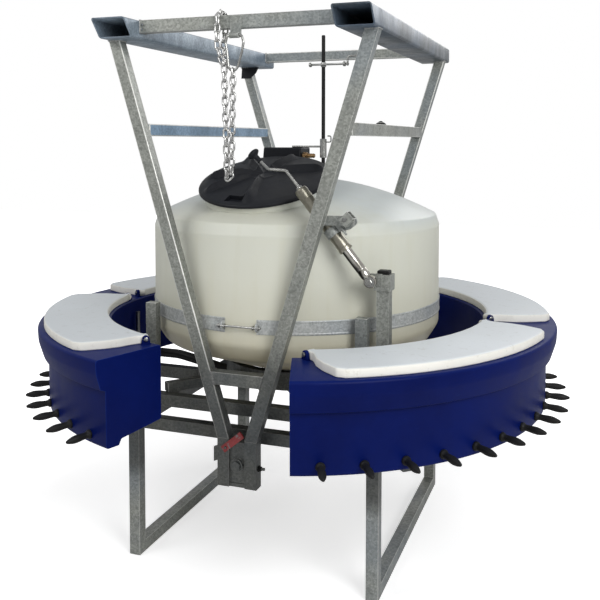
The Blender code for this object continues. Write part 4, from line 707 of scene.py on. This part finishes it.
def build_trough(side, facing):
    body = new_object(f"trough_{side}_shell",
        to_mesh(sector(rounded([(TROUGH_INNER, 0.692, 0.010), (1.050, 0.667, 0.006),
        (1.062, 0.645, 0.006), (TROUGH_LOW, 0.645, 0.010), (1.1225, 0.863, 0.002), (1.145, 0.871, 0.004),
        (1.164, 0.932, 0.060), (1.167, TROUGH_TOP, 0.012), (TROUGH_INNER, TROUGH_TOP, 0.008)], steps=4),
        facing - HALF_ANGLE, facing + HALF_ANGLE, 72), "trough"))
    cavity = rounded([(0.860, 0.700, 0.012), (1.052, 0.675, 0.006), (1.062, 0.653, 0.006),
        (1.113, 0.653, 0.010), (1.113, 0.868, 0.008), (1.136, 0.880, 0.008), (1.155, 0.936, 0.030),
        (1.157, 0.973, 0.008), (0.860, 0.973, 0.008)], steps=3)
    divider, end = 0.005, HALF_ANGLE - 0.008
    tools = [to_mesh(sector(cavity, facing + first, facing + last, 34), "cavity")
        for first, last in ((divider, end), (-end, -divider))]
    mouth = COVER_HALF - math.radians(1.6)
    for turn in (LID_MID, -LID_MID):
        tools.append(to_mesh(sector([(0.905, 0.935), (1.122, 0.935), (1.122, 1.035), (0.905, 1.035)],
            facing + turn - mouth, facing + turn + mouth, 24), "mouth"))
    carve(body, "DIFFERENCE", *tools)
    # The rounded edges take the second slot, the lighter blue: partly scuffs, partly painted highlight.
    piece(f"trough_{side}_shell", body, (BLUE, BLUE_EDGE_SCUFF_AND_HIGHLIGHT), "base", (f"trough_{side}",),
        ease=(0.0055, 3, 42.0, 1))

    lugs = bmesh.new()
    lug = 0.0145
    for turn in (LID_MID, -LID_MID):
        axes = cover_axes(facing + turn)
        outline = [(HINGE_CHORD - 0.020, TROUGH_TOP - 0.004), (HINGE_CHORD + 0.020, TROUGH_TOP - 0.004),
            (HINGE_CHORD + lug, HINGE_Z)]
        outline += [(HINGE_CHORD + lug * math.cos(math.radians(step)),
            HINGE_Z + lug * math.sin(math.radians(step))) for step in range(15, 180, 15)]
        outline += [(HINGE_CHORD - lug, HINGE_Z)]
        for sign in (-1, 1):
            ends = sorted((sign * (HINGE_REACH - 0.007), sign * (HINGE_REACH + 0.007)))
            loft([[axes @ Vector((x, y, z)) for y, z in outline] for x in ends], shape=lugs)
    piece(f"trough_{side}_lugs", lugs, BLUE, "base", ease=(0.002, 2, 40.0))

    out = polar(1.0, facing)
    level = Vector((0, 0, TAP_Z))
    stud = out * 0.812 + level
    fitting = tube([out * TAP_REACH + level, out * 0.856 + level], 0.016, 32)
    revolve([(0, 0.022), (0.022, 0.022), (0.024, 0.019), (0.024, 0.008), (0.0215, 0.006),
        (0.0215, -0.006), (0.024, -0.008), (0.024, -0.019), (0.022, -0.022), (0, -0.022)], 32,
        aim(stud, out), fitting)
    tube([stud, stud + Vector((0, -0.0335, 0))], 0.005, 16, shape=fitting)
    hexagon(aim(stud + Vector((0, -0.0305, 0)), (0, -1, 0)), 0.008, 0.003, fitting)
    piece(f"trough_{side}_tap_body", fitting, BRASS, "base")
    build_teats(side, facing)


def build_teats(side, facing):
    """Rubber teats: a flange on the wall, a waist, a long body and a rounded tip."""
    line = [(0.0, 0.1045), (0.0032, 0.1038), (0.0056, 0.1015), (0.0078, 0.0960), (0.0104, 0.0880),
        (0.0128, 0.0790), (0.0142, 0.0700), (0.0146, 0.0620), (0.0142, 0.0520), (0.0134, 0.0420),
        (0.0126, 0.0330), (0.0122, 0.0260), (0.0124, 0.0200), (0.0134, 0.0165), (0.0155, 0.0140),
        (0.0170, 0.0115), (0.0174, 0.0090), (0.0174, 0.0045), (0.0165, 0.003), (0.0165, 0.0), (0.0, 0.0)]
    shape = bmesh.new()
    spread = math.radians(66.0)
    for index in range(TEATS):
        angle = facing - spread + 2 * spread * index / (TEATS - 1)
        out = polar(1.0, angle)
        droop = -0.035 - 0.05 * (noise.noise(Vector((index * 3.7, facing, 0.5))) + 0.5)
        way = (out + Vector((0, 0, droop))).normalized()
        revolve(line, 20, aim(out * (TROUGH_LOW - 0.003) + Vector((0, 0, TEAT_Z)), way), shape)
    piece(f"trough_{side}_teats", shape, RUBBER, "base")


build_trough("right", 0.0)
build_trough("left", math.pi)


# Trough lids

def build_cover(name, angle):
    ear_out = HINGE_REACH - 0.008
    ear_in = ear_out - 0.030
    inner, outer = 0.865, 1.140
    corner = COVER_HALF - math.radians(1.1)
    inner_end = math.asin(ear_in / inner)

    def arc(radius, first, last, steps):
        return [(radius * math.sin(first + (last - first) * step / steps),
            radius * math.cos(first + (last - first) * step / steps), 0.0) for step in range(steps + 1)]

    half_end = [(outer * math.sin(COVER_HALF) + 0.002, outer * math.cos(COVER_HALF) - 0.020, 0.018),
        (ear_out + 0.050, HINGE_CHORD + 0.160, 0.060), (ear_out + 0.034, HINGE_CHORD + 0.100, 0.050),
        (ear_out + 0.010, HINGE_CHORD + 0.055, 0.040), (ear_out, HINGE_CHORD + 0.030, 0.020),
        (ear_out, HINGE_CHORD - 0.004, 0.015)]
    outline = arc(outer, -corner, corner, 40) + half_end
    outline += arc(inner, inner_end, -inner_end, 32)
    outline += [(-x, y, radius) for x, y, radius in reversed(half_end)]
    line = rounded(outline, steps=4)
    axes = cover_axes(angle)
    low = TROUGH_TOP + GAP

    def hinge(x):
        return axes @ Vector((x, HINGE_CHORD, HINGE_Z))

    def ring(inset, level):
        points = []
        count = len(line)
        for index, (x, y) in enumerate(line):
            before, after = Vector(line[index - 1]), Vector(line[(index + 1) % count])
            way = (after - before).normalized()
            normal = Vector((way.y, -way.x))
            points.append(axes @ Vector((x - normal.x * inset, y - normal.y * inset, level)))
        return points

    area = sum(line[i - 1][0] * line[i][1] - line[i][0] * line[i - 1][1] for i in range(len(line)))
    flip = 1 if area > 0 else -1
    top = low + 0.034
    steps = [(0.003, low), (0.0, low + 0.003), (0.0, top - 0.008), (0.0012, top - 0.0040),
        (0.0045, top - 0.0012), (0.009, top - 0.0002), (0.013, top)]
    shape = loft([ring(flip * inset, level) for inset, level in steps])
    for sign in (-1, 1):
        ends = [hinge(sign * x) for x in (ear_in, ear_out)]
        tube(ends, 0.0142, 24, shape=shape)
    piece(f"{name}_panel", shape, WHITE, name, (name,), sharp=30.0)
    pins = bmesh.new()
    for sign in (-1, 1):
        ends = [hinge(sign * x) for x in (ear_out - 0.004, HINGE_REACH + 0.010)]
        tube(ends, 0.0058, 16, shape=pins, ends=0.0015)
        hexagon(aim(hinge(sign * (HINGE_REACH + 0.0085)), ends[1] - ends[0]), 0.0095, 0.004, pins)
    piece(f"{name}_pins", pins, ZINC, name)


COVERS = {"front_right": -LID_MID, "rear_right": LID_MID, "rear_left": math.pi - LID_MID,
    "front_left": math.pi + LID_MID}
for key, value in COVERS.items():
    build_cover(f"trough_lid_{key}", value)


# Straps

STRAP_Z = 1.048
BAND_GAP = math.radians(6.0)


def build_band(side, sign):
    """One half strap with rolled edges and an ear at each end."""
    inner = TANK_RADIUS + GAP
    low, high = 1.018, 1.078
    line = rounded([(inner, low + 0.001, 0.0008), (inner + 0.0038, low, 0.0015),
        (inner + 0.0040, low + 0.007, 0.003), (inner + 0.0028, low + 0.010, 0.002),
        (inner + 0.0028, high - 0.010, 0.002), (inner + 0.0040, high - 0.007, 0.003),
        (inner + 0.0038, high, 0.0015), (inner, high - 0.001, 0.0008)], steps=2)
    front, rear = -math.pi / 2 + sign * BAND_GAP, math.pi / 2 - sign * BAND_GAP
    if sign < 0:
        rear -= math.tau
    shape = sector(line, front, rear, 90)
    for angle, inward in ((front, 1), (rear, -1)):
        out = polar(1.0, angle)
        side_way = Vector((-out.y, out.x, 0)) * inward * sign
        outline = rounded([(0.003, -0.020, 0.004), (0.026, -0.014, 0.010), (0.026, 0.014, 0.010),
            (0.003, 0.020, 0.004)], steps=4)
        rings = [[out * (inner + x) + side_way * y + Vector((0, 0, STRAP_Z + z)) for x, z in outline]
            for y in (0.0, 0.006)]
        loft(rings, shape=shape)
    piece(f"band_{side}_strap", shape, GALV_STRAP, "base", (f"band_{side}",), sharp=40.0)


build_band("left", -1)
build_band("right", 1)


# Chain and its ring

CHAIN_WIRE = 0.0041
CHAIN_INNER = 0.0300
CHAIN_PITCH = 0.0312
CHAIN_WIDTH = 0.028
CHAIN_X = -0.067
HOOK_LOW = Vector((-0.002, -0.7125, 2.050))
HOOK_TOP = 2.184
HOOK_WIRE = 0.005
END_Y = 0.672
TUBE_HALF = 0.025


def link(shape, centre, along, normal):
    """A welded link: two straight sides and two round ends."""
    along = Vector(along).normalized()
    normal = Vector(normal)
    normal = (normal - along * normal.dot(along)).normalized()
    across = normal.cross(along)
    half_wide = CHAIN_WIDTH / 2 - CHAIN_WIRE
    straight = CHAIN_INNER / 2 + CHAIN_WIRE - half_wide
    points = []
    for end in (1, -1):
        for step in range(9):
            angle = math.radians(-90 + 22.5 * step)
            points.append(centre + along * end * (straight + half_wide * math.cos(angle))
                + across * end * half_wide * math.sin(angle))
    tube(points, CHAIN_WIRE, 9, cyclic=True, shape=shape)


def chain_run(shape, start, directions, upright):
    here = Vector(start)
    for direction in directions:
        step = Vector(direction).normalized() * CHAIN_PITCH
        normal = Vector((1, 0, 0)) if upright else step.cross(Vector((1, 0, 0)))
        link(shape, here + step / 2, step, normal)
        here = here + step
        upright = not upright
    return here


def chain_side(front, lean):
    turn = math.radians(35)
    out = -1 if front else 1
    steps = [(0, out * math.cos(turn), -math.sin(turn)), (-0.02, 0, -1)]
    for drift in (-0.02, -0.02, 0.10, 0.30, 0.46):
        steps.append((drift, 0 if front else -math.sin(lean), -1 if front else -math.cos(lean)))
    return steps


def build_chain():
    bar = Vector((CHAIN_X, -END_Y, SLEEVE_TOP - TUBE_HALF))
    top = bar.z + TUBE_HALF + CHAIN_WIDTH / 2 - 0.0006
    front_top = Vector((bar.x, bar.y - CHAIN_PITCH / 2, top))
    rear_top = Vector((bar.x, bar.y + CHAIN_PITCH / 2, top))

    def run_end(start, directions):
        return start + sum((Vector(way).normalized() * CHAIN_PITCH for way in directions),
            Vector((0, 0, 0)))

    low, high = math.radians(10), math.radians(30)
    for _ in range(30):
        lean = (low + high) / 2
        apart = run_end(rear_top, chain_side(False, lean)) - run_end(front_top, chain_side(True, lean))
        if apart.length > CHAIN_PITCH:
            low = lean
        else:
            high = lean
    shape = bmesh.new()
    front_low = chain_run(shape, front_top, chain_side(True, lean), False)
    rear_low = chain_run(shape, rear_top, chain_side(False, lean), False)
    link(shape, (front_low + rear_low) / 2, rear_low - front_low, (1, 0, 0))
    link(shape, (front_top + rear_top) / 2, (0, 1, 0), (1, 0, 0))
    half_width = CHAIN_WIDTH / 2 - CHAIN_WIRE
    reach = CHAIN_WIRE - (CHAIN_PITCH - CHAIN_INNER) / 2
    low_middle = (front_low + rear_low) / 2 + (front_low - rear_low).normalized() * 0.005
    starts = (low_middle + Vector((0, 0, reach - half_width)),
        HOOK_LOW + Vector((0, 0, HOOK_WIRE + 3 * GAP + CHAIN_WIRE - reach)))
    ends = []
    for start, target, count, upright in ((starts[0], -0.031, 14, False), (starts[1], -0.012, 13, True)):
        way = Vector((target - start.x, HOOK_LOW.y + 0.003 - start.y, 0))
        way.z = -math.sqrt((count * CHAIN_PITCH) ** 2 - way.length_squared)
        ends.append(chain_run(shape, start, [way] * count, upright) - Vector((0, 0, reach)))
    link(shape, (ends[0] + ends[1]) / 2, ends[1] - ends[0], (0, 1, 0))
    piece("chain_links", shape, CHAIN, "lift_frame", ("chain",), sharp=60.0)


build_chain()


def build_hook():
    x, y, low = HOOK_LOW
    corners = [(x - 0.019, y, low + 0.012), (x - 0.008, y, low), (x + 0.008, y, low),
        (x + 0.019, y, low + 0.012), (x + 0.037, y, low + 0.070), (x + 0.044, y, HOOK_TOP - 0.028),
        (x + 0.036, y, HOOK_TOP), (x - 0.024, y, HOOK_TOP), (x - 0.032, y, HOOK_TOP - 0.028),
        (x - 0.025, y, low + 0.070)]
    flat = rounded([(px, pz, 0.014) for px, _, pz in corners], steps=5)
    shape = tube([(px, y, pz) for px, pz in flat], HOOK_WIRE, 12, cyclic=True)
    piece("chain_hook_ring", shape, ZINC, "lift_frame", ("chain_hook",), sharp=60.0)


build_hook()


# Levelling jack

JACK_EYE = (0.517, 1.249)
JACK_AXIS = (-0.634, 0.773)
JACK_Y = -0.612
JACK_CLAMP = 0.2227
JACK_OFFSET = 0.0805
JACK_HIGH = 0.446


def jack_point(along, offset=0.0):
    return Vector((JACK_EYE[0] + JACK_AXIS[0] * along + JACK_AXIS[1] * offset, JACK_Y,
        JACK_EYE[1] + JACK_AXIS[1] * along - JACK_AXIS[0] * offset))


def jack_place(along=0.0, offset=0.0):
    x, y, z = jack_point(along, offset)
    return Matrix(((JACK_AXIS[1], 0, JACK_AXIS[0], x), (0, 1, 0, y), (-JACK_AXIS[0], 0, JACK_AXIS[1], z),
        (0, 0, 0, 1)))


def build_jack():
    cylinder = revolve([(0.0064, JACK_HIGH), (0.0200, JACK_HIGH), (0.0238, 0.4445), (0.0258, 0.441),
        (0.0260, 0.436), (0.0260, 0.402), (0.0254, 0.400), (0.0254, 0.397), (0.0260, 0.395),
        (0.0260, 0.164), (0.0280, 0.162), (0.0283, 0.158), (0.0283, 0.151), (0.0275, 0.1475),
        (0.0230, 0.147), (0.0215, 0.149), (0.0215, 0.438), (0.0064, 0.438)], 56, jack_place())
    piece("jack_cylinder", cylinder, WARM_ZINC, "jack_body", ("jack_tube",), sharp=40.0)
    ram = revolve([(0, 0.0165), (0.0145, 0.0165), (0.0175, 0.0200), (0.0200, 0.0270), (0.0200, 0.052),
        (0.0192, 0.0535), (0.0192, 0.0565), (0.0200, 0.058), (0.0200, 0.340), (0, 0.340)], 56,
        jack_place())
    piece("jack_piston", ram, CHROME, "jack_ram", ("jack_ram",), sharp=40.0)
    eye = revolve([(0.0145, -0.0108), (0.0155, -0.012), (0.0222, -0.012), (0.0240, -0.0102),
        (0.0240, 0.0102), (0.0222, 0.012), (0.0155, 0.012), (0.0145, 0.0108)], 40,
        aim(jack_point(0), (0, 1, 0)))
    piece("jack_piston_eye", eye, CHROME, "jack_ram", ("ram_eye",), sharp=40.0)
    bung = block((0.527, -0.548, 1.2675), (0.573, -0.502, 1.2815))
    piece("post_plug", bung, RUBBER, "base", ("post_bung",), ease=(0.003, 2, 40.0))
    washer = revolve([(0.0090, -0.0007), (0.0190, -0.0007), (0.0194, -0.0003), (0.0194, 0.0012),
        (0.0188, 0.0018), (0.0090, 0.0018)], 36, aim(jack_point(0) + Vector((0, -0.0135, 0)), (0, -1, 0)))
    hexagon(aim(jack_point(0) + Vector((0, -0.0150, 0)), (0, -1, 0)), 0.0125, 0.0085, washer)
    piece("jack_eye_nut", washer, ZINC, "base")

    place = jack_place(JACK_CLAMP)
    collar = revolve([(0.0263, -0.004), (0.0308, -0.004), (0.0316, -0.003), (0.0316, 0.029),
        (0.0308, 0.030), (0.0263, 0.030)], 48, place)
    outline = rounded([(0.028, -0.004, 0), (0.060, -0.020, 0.006), (JACK_OFFSET + 0.022, -0.020, 0.018),
        (JACK_OFFSET + 0.022, 0.022, 0.018), (0.060, 0.029, 0.006), (0.028, 0.029, 0)])
    for side in (-0.018, 0.008):
        loft([[place @ Vector((x, side + deep, z)) for x, z in outline] for deep in (0.0, 0.010)],
            shape=collar)
    start = place @ Vector((0.048, -0.017, -0.014))
    tube([start, place @ Vector((0.048, -0.036, -0.014))], 0.005, 16, shape=collar)
    tube([place @ Vector((0.048, -0.033, z)) for z in (-0.031, -0.014, 0.002)], 0.0042, 14, shape=collar,
        ends=0.002)
    piece("jack_collar", collar, GALV, "jack_body", ("jack_clamp",), sharp=40.0)

    first = jack_point(JACK_HIGH + 0.092)
    second = first + Vector((-0.074, 0, 0.004))
    end = second + Vector((-0.032, 0, 0.030))
    way = (end - second).normalized()
    handle = tube(bent([jack_point(0.430), first, second, end + way * 0.004], 0.018), 0.0058, 16)
    revolve([(0, 0.0006), (0.0118, 0.0006), (0.0125, 0.0014), (0.0125, 0.0080), (0.0115, 0.0092),
        (0.0072, 0.0100), (0, 0.0100)], 32, jack_place(JACK_HIGH), handle)
    tube([end, end + way * 0.050], 0.0045, 16, shape=handle)
    piece("crank_handle", handle, ZINC, "crank", ("crank",), sharp=50.0)
    grip = revolve([(0.0050, 0.0535), (0.0150, 0.0530), (0.0215, 0.0505), (0.0252, 0.0465),
        (0.0262, 0.0425), (0.0250, 0.0390), (0.0205, 0.0352), (0.0140, 0.0310), (0.0108, 0.0270),
        (0.0100, 0.0180), (0.0104, 0.0080), (0.0116, 0.0020), (0.0105, 0.0008), (0.0050, 0.0008)], 40,
        aim(end, way))
    piece("crank_grip", grip, BLACK, "crank_knob", ("crank_knob",), sharp=50.0)

    pivot = jack_point(JACK_CLAMP, JACK_OFFSET)
    turn = (Matrix.Translation((pivot.x + 0.006, -0.6710, pivot.z + 0.016))
        @ Matrix.Rotation(math.radians(45), 4, "Y"))
    rings = []
    for half, radius, along in ((0.0195, 0.004, -0.023), (0.0195, 0.004, 0.023), (0.0160, 0.002, 0.023),
            (0.0160, 0.002, -0.019)):
        rings.append([turn @ Vector((x, y, along))
            for x, y in rounded([(-half, -half, radius), (half, -half, radius), (half, half, radius),
            (-half, half, radius)])])
    socket = to_mesh(loft(rings), "socket")
    # Inner faces take the second slot, near black: painted shadow inside the hollow socket.
    for face in socket.polygons:
        spots = [turn.inverted() @ socket.vertices[index].co for index in face.vertices]
        if all(max(abs(spot.x), abs(spot.y)) < 0.0161 for spot in spots):
            face.material_index = 1
    bolt = bmesh.new()
    for y, size, thick in ((-0.0195, 0.009, 0.006), (-0.0255, 0.006, 0.005)):
        hexagon(turn @ aim((-0.004, y, -0.004), (0, -1, 0)), size, thick, bolt)
    piece("jack_bracket_bolt", bolt, ZINC, "lift_frame")
    piece("jack_bracket_socket", socket, (GALV, GALV_INSIDE_SHADE), "lift_frame", sharp=40.0)


build_jack()


# Plunger

def build_plunger():
    axis = Matrix.Translation((PLUNGER_X, 0, 0))
    rod = revolve([(0, 2.262), (0.0062, 2.262), (0.0080, 2.2600), (0.0084, 2.2560), (0.0084, 1.5224),
        (0.052, 1.522), (0.055, 1.519), (0.055, 1.513), (0.052, 1.510), (0, 1.510)], 32, axis)
    piece("plunger_stem", rod, ROD_BLACK, "plunger", ("plunger_rod",), sharp=50.0)
    bar_y, bar_z = -0.0153, 2.128
    bar = tube(bent([(0.066, bar_y, bar_z), (0.249, bar_y, bar_z), (0.249, bar_y, 2.162),
        (0.305, bar_y, 2.162)], 0.011), 0.0048, 14, ends=0.002)
    for at, wide, size in ((0.0715, 0.006, 0.0105), (0.234, 0.0065, 0.0115), (0.249, 0.004, 0.009)):
        revolve([(0, -wide), (size * 0.8, -wide), (size, -wide * 0.6), (size, wide * 0.6),
            (size * 0.8, wide), (0, wide)], 24, aim((at, bar_y, bar_z), (1, 0, 0)), bar)
    revolve([(0.0086, -0.010), (0.0120, -0.010), (0.0126, -0.009), (0.0126, 0.009), (0.0120, 0.010),
        (0.0086, 0.010)], 28, Matrix.Translation((PLUNGER_X, 0, bar_z)), bar)
    piece("plunger_handle", bar, ZINC, "plunger", ("plunger_bar",), sharp=50.0)


build_plunger()


def build_valve():
    low = 0.595
    body = revolve([(0.0, 0.6717), (0.060, 0.6717), (0.064, 0.6690), (0.064, 0.6665), (0.061, 0.6640),
        (0.047, 0.6635), (0.0455, 0.661), (0.044, low + 0.012), (0.040, low + 0.003), (0.034, low),
        (0.0, low)], 56)
    for side in (-1, 1):
        tube([(side * 0.030, 0, PORT_Z), (side * 0.0515, 0, PORT_Z)], 0.0225, 32, shape=body)
    ribs = 8
    for step in range(ribs):
        angle = math.tau * step / ribs
        block((-0.003, 0.040, low + 0.012), (0.003, 0.049, 0.664),
            lambda point, turn=angle: Matrix.Rotation(turn, 3, "Z") @ point, body)
    piece("outlet_valve_body", body, BLACK, "base", ("outlet_valve",))


build_valve()


def build_head():
    """The brass hose tail on the inlet box, and the plunger's guide."""
    tail = [(0, 0.060), (0.0085, 0.060)]
    for step in range(4):
        at = 0.058 - 0.0075 * step
        tail += [(0.0110, at - 0.006), (0.0088, at - 0.0072)]
    tail += [(0.0092, 0.0265), (0.0130, 0.0262), (0.0150, 0.0245), (0.0150, 0.0190), (0.0100, 0.0185),
        (0.0100, GAP), (0, GAP)]
    place = Matrix.Translation((0.028, 0.0, 1.712)) @ Matrix.Rotation(math.radians(90), 4, "Y")
    fitting = revolve(tail, 32, place)
    hexagon(place @ Matrix.Translation((0, 0, 0.003)), 0.0165, 0.013, fitting)
    piece("inlet_tail", fitting, BRASS, "base", ("inlet_fitting",))
    guide = revolve([(0.0112, 1.703), (0.0145, 1.703), (0.0155, 1.704), (0.0155, 1.789), (0.0145, 1.790),
        (0.0112, 1.790)], 32, Matrix.Translation((PLUNGER_X, 0, 0)))
    tube([(-0.022, 0, 1.7545), (0.115, 0, 1.7545)], 0.0046, 14, shape=guide, ends=0.002)
    tube(bent([(0.145, 0, 1.775), (0.166, 0, 1.775), (0.166, 0, 1.803), (0.150, 0, 1.803)], 0.008),
        0.0032, 12, shape=guide, ends=0.001)
    hexagon(aim((PLUNGER_X, -0.0150, 1.722), (0, -1, 0)), 0.0085, 0.008, guide)
    piece("plunger_guide", guide, ZINC, "base", ("rod_guide",))
    box = block((-0.168, -0.029, 1.612), (0.027, 0.109, 1.7497),
        lambda point: (point.x + (0.012 if point.z > 1.7 and point.x < 0 else 0), point.y, point.z))
    piece("inlet_housing", box, BLACK, "base", ("inlet_box",), ease=(0.006, 3, 30.0))


build_head()


# Tension rods of the straps

def build_rods():
    for end, sign in (("front", -1), ("rear", 1)):
        inner = (TANK_RADIUS + GAP) / math.cos(math.radians(3.9))
        y = sign * (inner + 0.017)
        half = (inner + 0.03) * math.sin(BAND_GAP) + 0.022
        turns = 110
        line = [Vector((-half + 2 * half * step / turns, y, STRAP_Z)) for step in range(turns + 1)]
        shape = tube(line, lambda index: 0.0050 if index % 2 and abs(index - turns / 2) > 22 else 0.0045,
            14)
        nut = (inner + 0.030) * math.sin(BAND_GAP) + 0.0085
        for side in (-1, 1):
            hexagon(aim((side * nut, y, STRAP_Z), (side, 0, 0)), 0.0095, 0.007, shape)
            hexagon(aim((side * (nut - 0.0165), y, STRAP_Z), (-side, 0, 0)), 0.0095, 0.006, shape)
        piece(f"band_rod_{end}_stud", shape, ZINC, "base", (f"band_rod_{end}",), sharp=60.0)


build_rods()


# Welds, gussets and small fittings

WELD_SIZE = 0.0032


def bead(corners, name):
    """A rippled weld round a closed line of corners."""
    points = []
    for index, corner in enumerate(corners):
        start, end = Vector(corner), Vector(corners[(index + 1) % len(corners)])
        steps = max(2, int((end - start).length / 0.004))
        points += [start.lerp(end, step / steps) for step in range(steps)]
    shape = tube(points, lambda index: WELD_SIZE
        * (1.0 + 0.22 * math.sin(index * 2.1) + 0.15 * noise.noise(points[index] * 90)), 8, cyclic=True)
    piece(name, shape, WELD, "lift_frame", sharp=180.0)


def leg_x(height):
    """How far the V legs' middle lines are from the centre at a height."""
    return 0.540 - 0.30302 * (SLEEVE_BOTTOM - height)


def build_welds():
    """Welds of the lift frame, round the ends of its crossbars, legs and ties."""
    half, wide = TUBE_HALF, 0.0262
    for end, sign in (("front", -1), ("rear", 1)):
        y = sign * END_Y
        for side, way in (("left", -1), ("right", 1)):
            x = way * (SLEEVE_X - SLEEVE_HALF - 0.0012)
            bead([(x, y - half, 2.214), (x, y + half, 2.214), (x, y + half, SLEEVE_TOP),
                (x, y - half, SLEEVE_TOP)], f"weld_crossbar_{end}_{side}")
            for label, height in (("top", 2.1880), ("low", 0.6008)):
                if (label, end) == ("low", "front"):
                    continue
                middle = way * leg_x(height)
                bead([(middle - wide, y - half, height), (middle + wide, y - half, height),
                    (middle + wide, y + half, height), (middle - wide, y + half, height)],
                    f"weld_leg_{label}_{end}_{side}")
            corners = []
            for height, turn in ((0.815, 1), (0.865, -1)):
                x = way * (leg_x(height) - 0.0264)
                corners += [(x, y - half * turn, height), (x, y + half * turn, height)]
            bead(corners, f"weld_tie_{end}_{side}")


build_welds()


def build_gusset():
    """A small web between the rear left leg and its fork sleeve, and a stop on the right rung."""
    plate = [(-0.5600, 2.1885), (-0.4600, 2.1885), (-0.4750, 2.158), (-0.508, 2.128), (-0.5640, 2.128)]
    web = loft([[(x, y, z) for x, z in plate] for y in (0.6440, 0.6475)])
    piece("leg_gusset", web, BLACK, "lift_frame")
    stop = revolve([(0, 1.8665), (0.005, 1.8655), (0.012, 1.861), (0.021, 1.855), (0.024, 1.8505),
        (0, 1.8505)], 24, Matrix.Translation((leg_x(1.825), -0.12, 0)))
    piece("rung_stop", stop, RUBBER, "lift_frame")


build_gusset()


def build_bolts():
    """Bolts of the cradle's corners and the front crossbar, and the feet's webs and stop nuts."""
    shape = bmesh.new()
    for x in (-0.465, 0.465):
        for z in (0.668, 0.690):
            revolve([(0, 0.0016), (0.0085, 0.0016), (0.0090, 0.0008), (0.0090, 0), (0, 0)], 24,
                aim((x, -0.5552, z), (0, -1, 0)), shape)
            hexagon(aim((x, -0.5566, z), (0, -1, 0)), 0.0065, 0.0045, shape)
    piece("cradle_bolts", shape, ZINC, "base")
    for end, sign in (("front", -1), ("rear", 1)):
        web = block((-0.0332, sign * END_Y - 0.018, 0.4105), (0.0332, sign * END_Y + 0.018, 0.4247))
        piece(f"foot_web_{end}", web, GALV, "lift_frame")
    stop = bmesh.new()
    for x, size, thick in ((0.0838, 0.0125, 0.005), (0.0890, 0.0095, 0.008)):
        hexagon(aim((x, -END_Y, 0.490), (1, 0, 0)), size, thick, stop)
    piece("foot_stop_nuts", stop, ROD_BLACK, "lift_frame")
    shape = bmesh.new()
    for z in (2.246, 2.226):
        hexagon(aim((-0.405, -END_Y - 0.0252, z), (0, -1, 0)), 0.0055, 0.004, shape)
    piece("crossbar_bolts", shape, ZINC, "lift_frame")


build_bolts()


# Floor and light

def build_stage():
    far, level = 14, -0.002
    shape = loft([[(-far, -far, level), (far, -far, level)], [(-far, far, level), (far, far, level)]],
        closed_ring=False, caps=False)
    mesh = bpy.data.meshes.new("floor")
    shape.to_mesh(mesh)
    shape.free()
    floor = new_object("floor", mesh)
    finish = Finish("floor", 0.9, Specular_IOR_Level=0.1)
    finish.colour(finish.ramp(finish.noise(0.8), (0.3, 0.84), (0.7, 0.88)))
    away = finish.node("VectorMath", {0: finish.place}, operation="LENGTH").outputs["Value"]
    lift = finish.span(away, 1.3, 3.0, 0.55, 1.1)
    seen = finish.node("LightPath").outputs["Is Camera Ray"]
    finish.shader.inputs["Emission Color"].default_value = (1, 1, 1, 1)
    finish.put(finish.shader.inputs["Emission Strength"], finish.times(lift, seen))
    mesh.materials.append(finish.material)

    world = bpy.data.worlds.new("studio")
    bpy.context.scene.world = world
    world.use_nodes = True
    sky = Nodes(world.node_tree)
    back = sky.tree.nodes["Background"]
    back.inputs["Color"].default_value = (1, 1, 1, 1)
    path = sky.node("LightPath")
    dimmed = sky.times(path.outputs["Is Glossy Ray"], 0.45)
    both = sky.maths("MAXIMUM", path.outputs["Is Camera Ray"], dimmed)
    sky.put(back.inputs["Strength"], sky.span(both, 0.0, 1.0, 0.40, 1.0))

    for name, place, size, power in (("key", (-2.6, -3.6, 4.4), 2.6, 68.0),
            ("fill", (3.4, -3.4, 3.2), 2.6, 132.0), ("back", (1.5, 4.2, 4.0), 2.6, 55.0)):
        data = bpy.data.lights.new(name, "AREA")
        data.shape = "DISK"
        data.size = size
        data.energy = power
        lamp = new_object(name, data)
        lamp.location = place
        lamp.rotation_euler = (Vector((0, 0, 1.0)) - Vector(place)).to_track_quat("-Z", "Y").to_euler()


build_stage()

bpy.context.scene.view_settings.view_transform = "Standard"
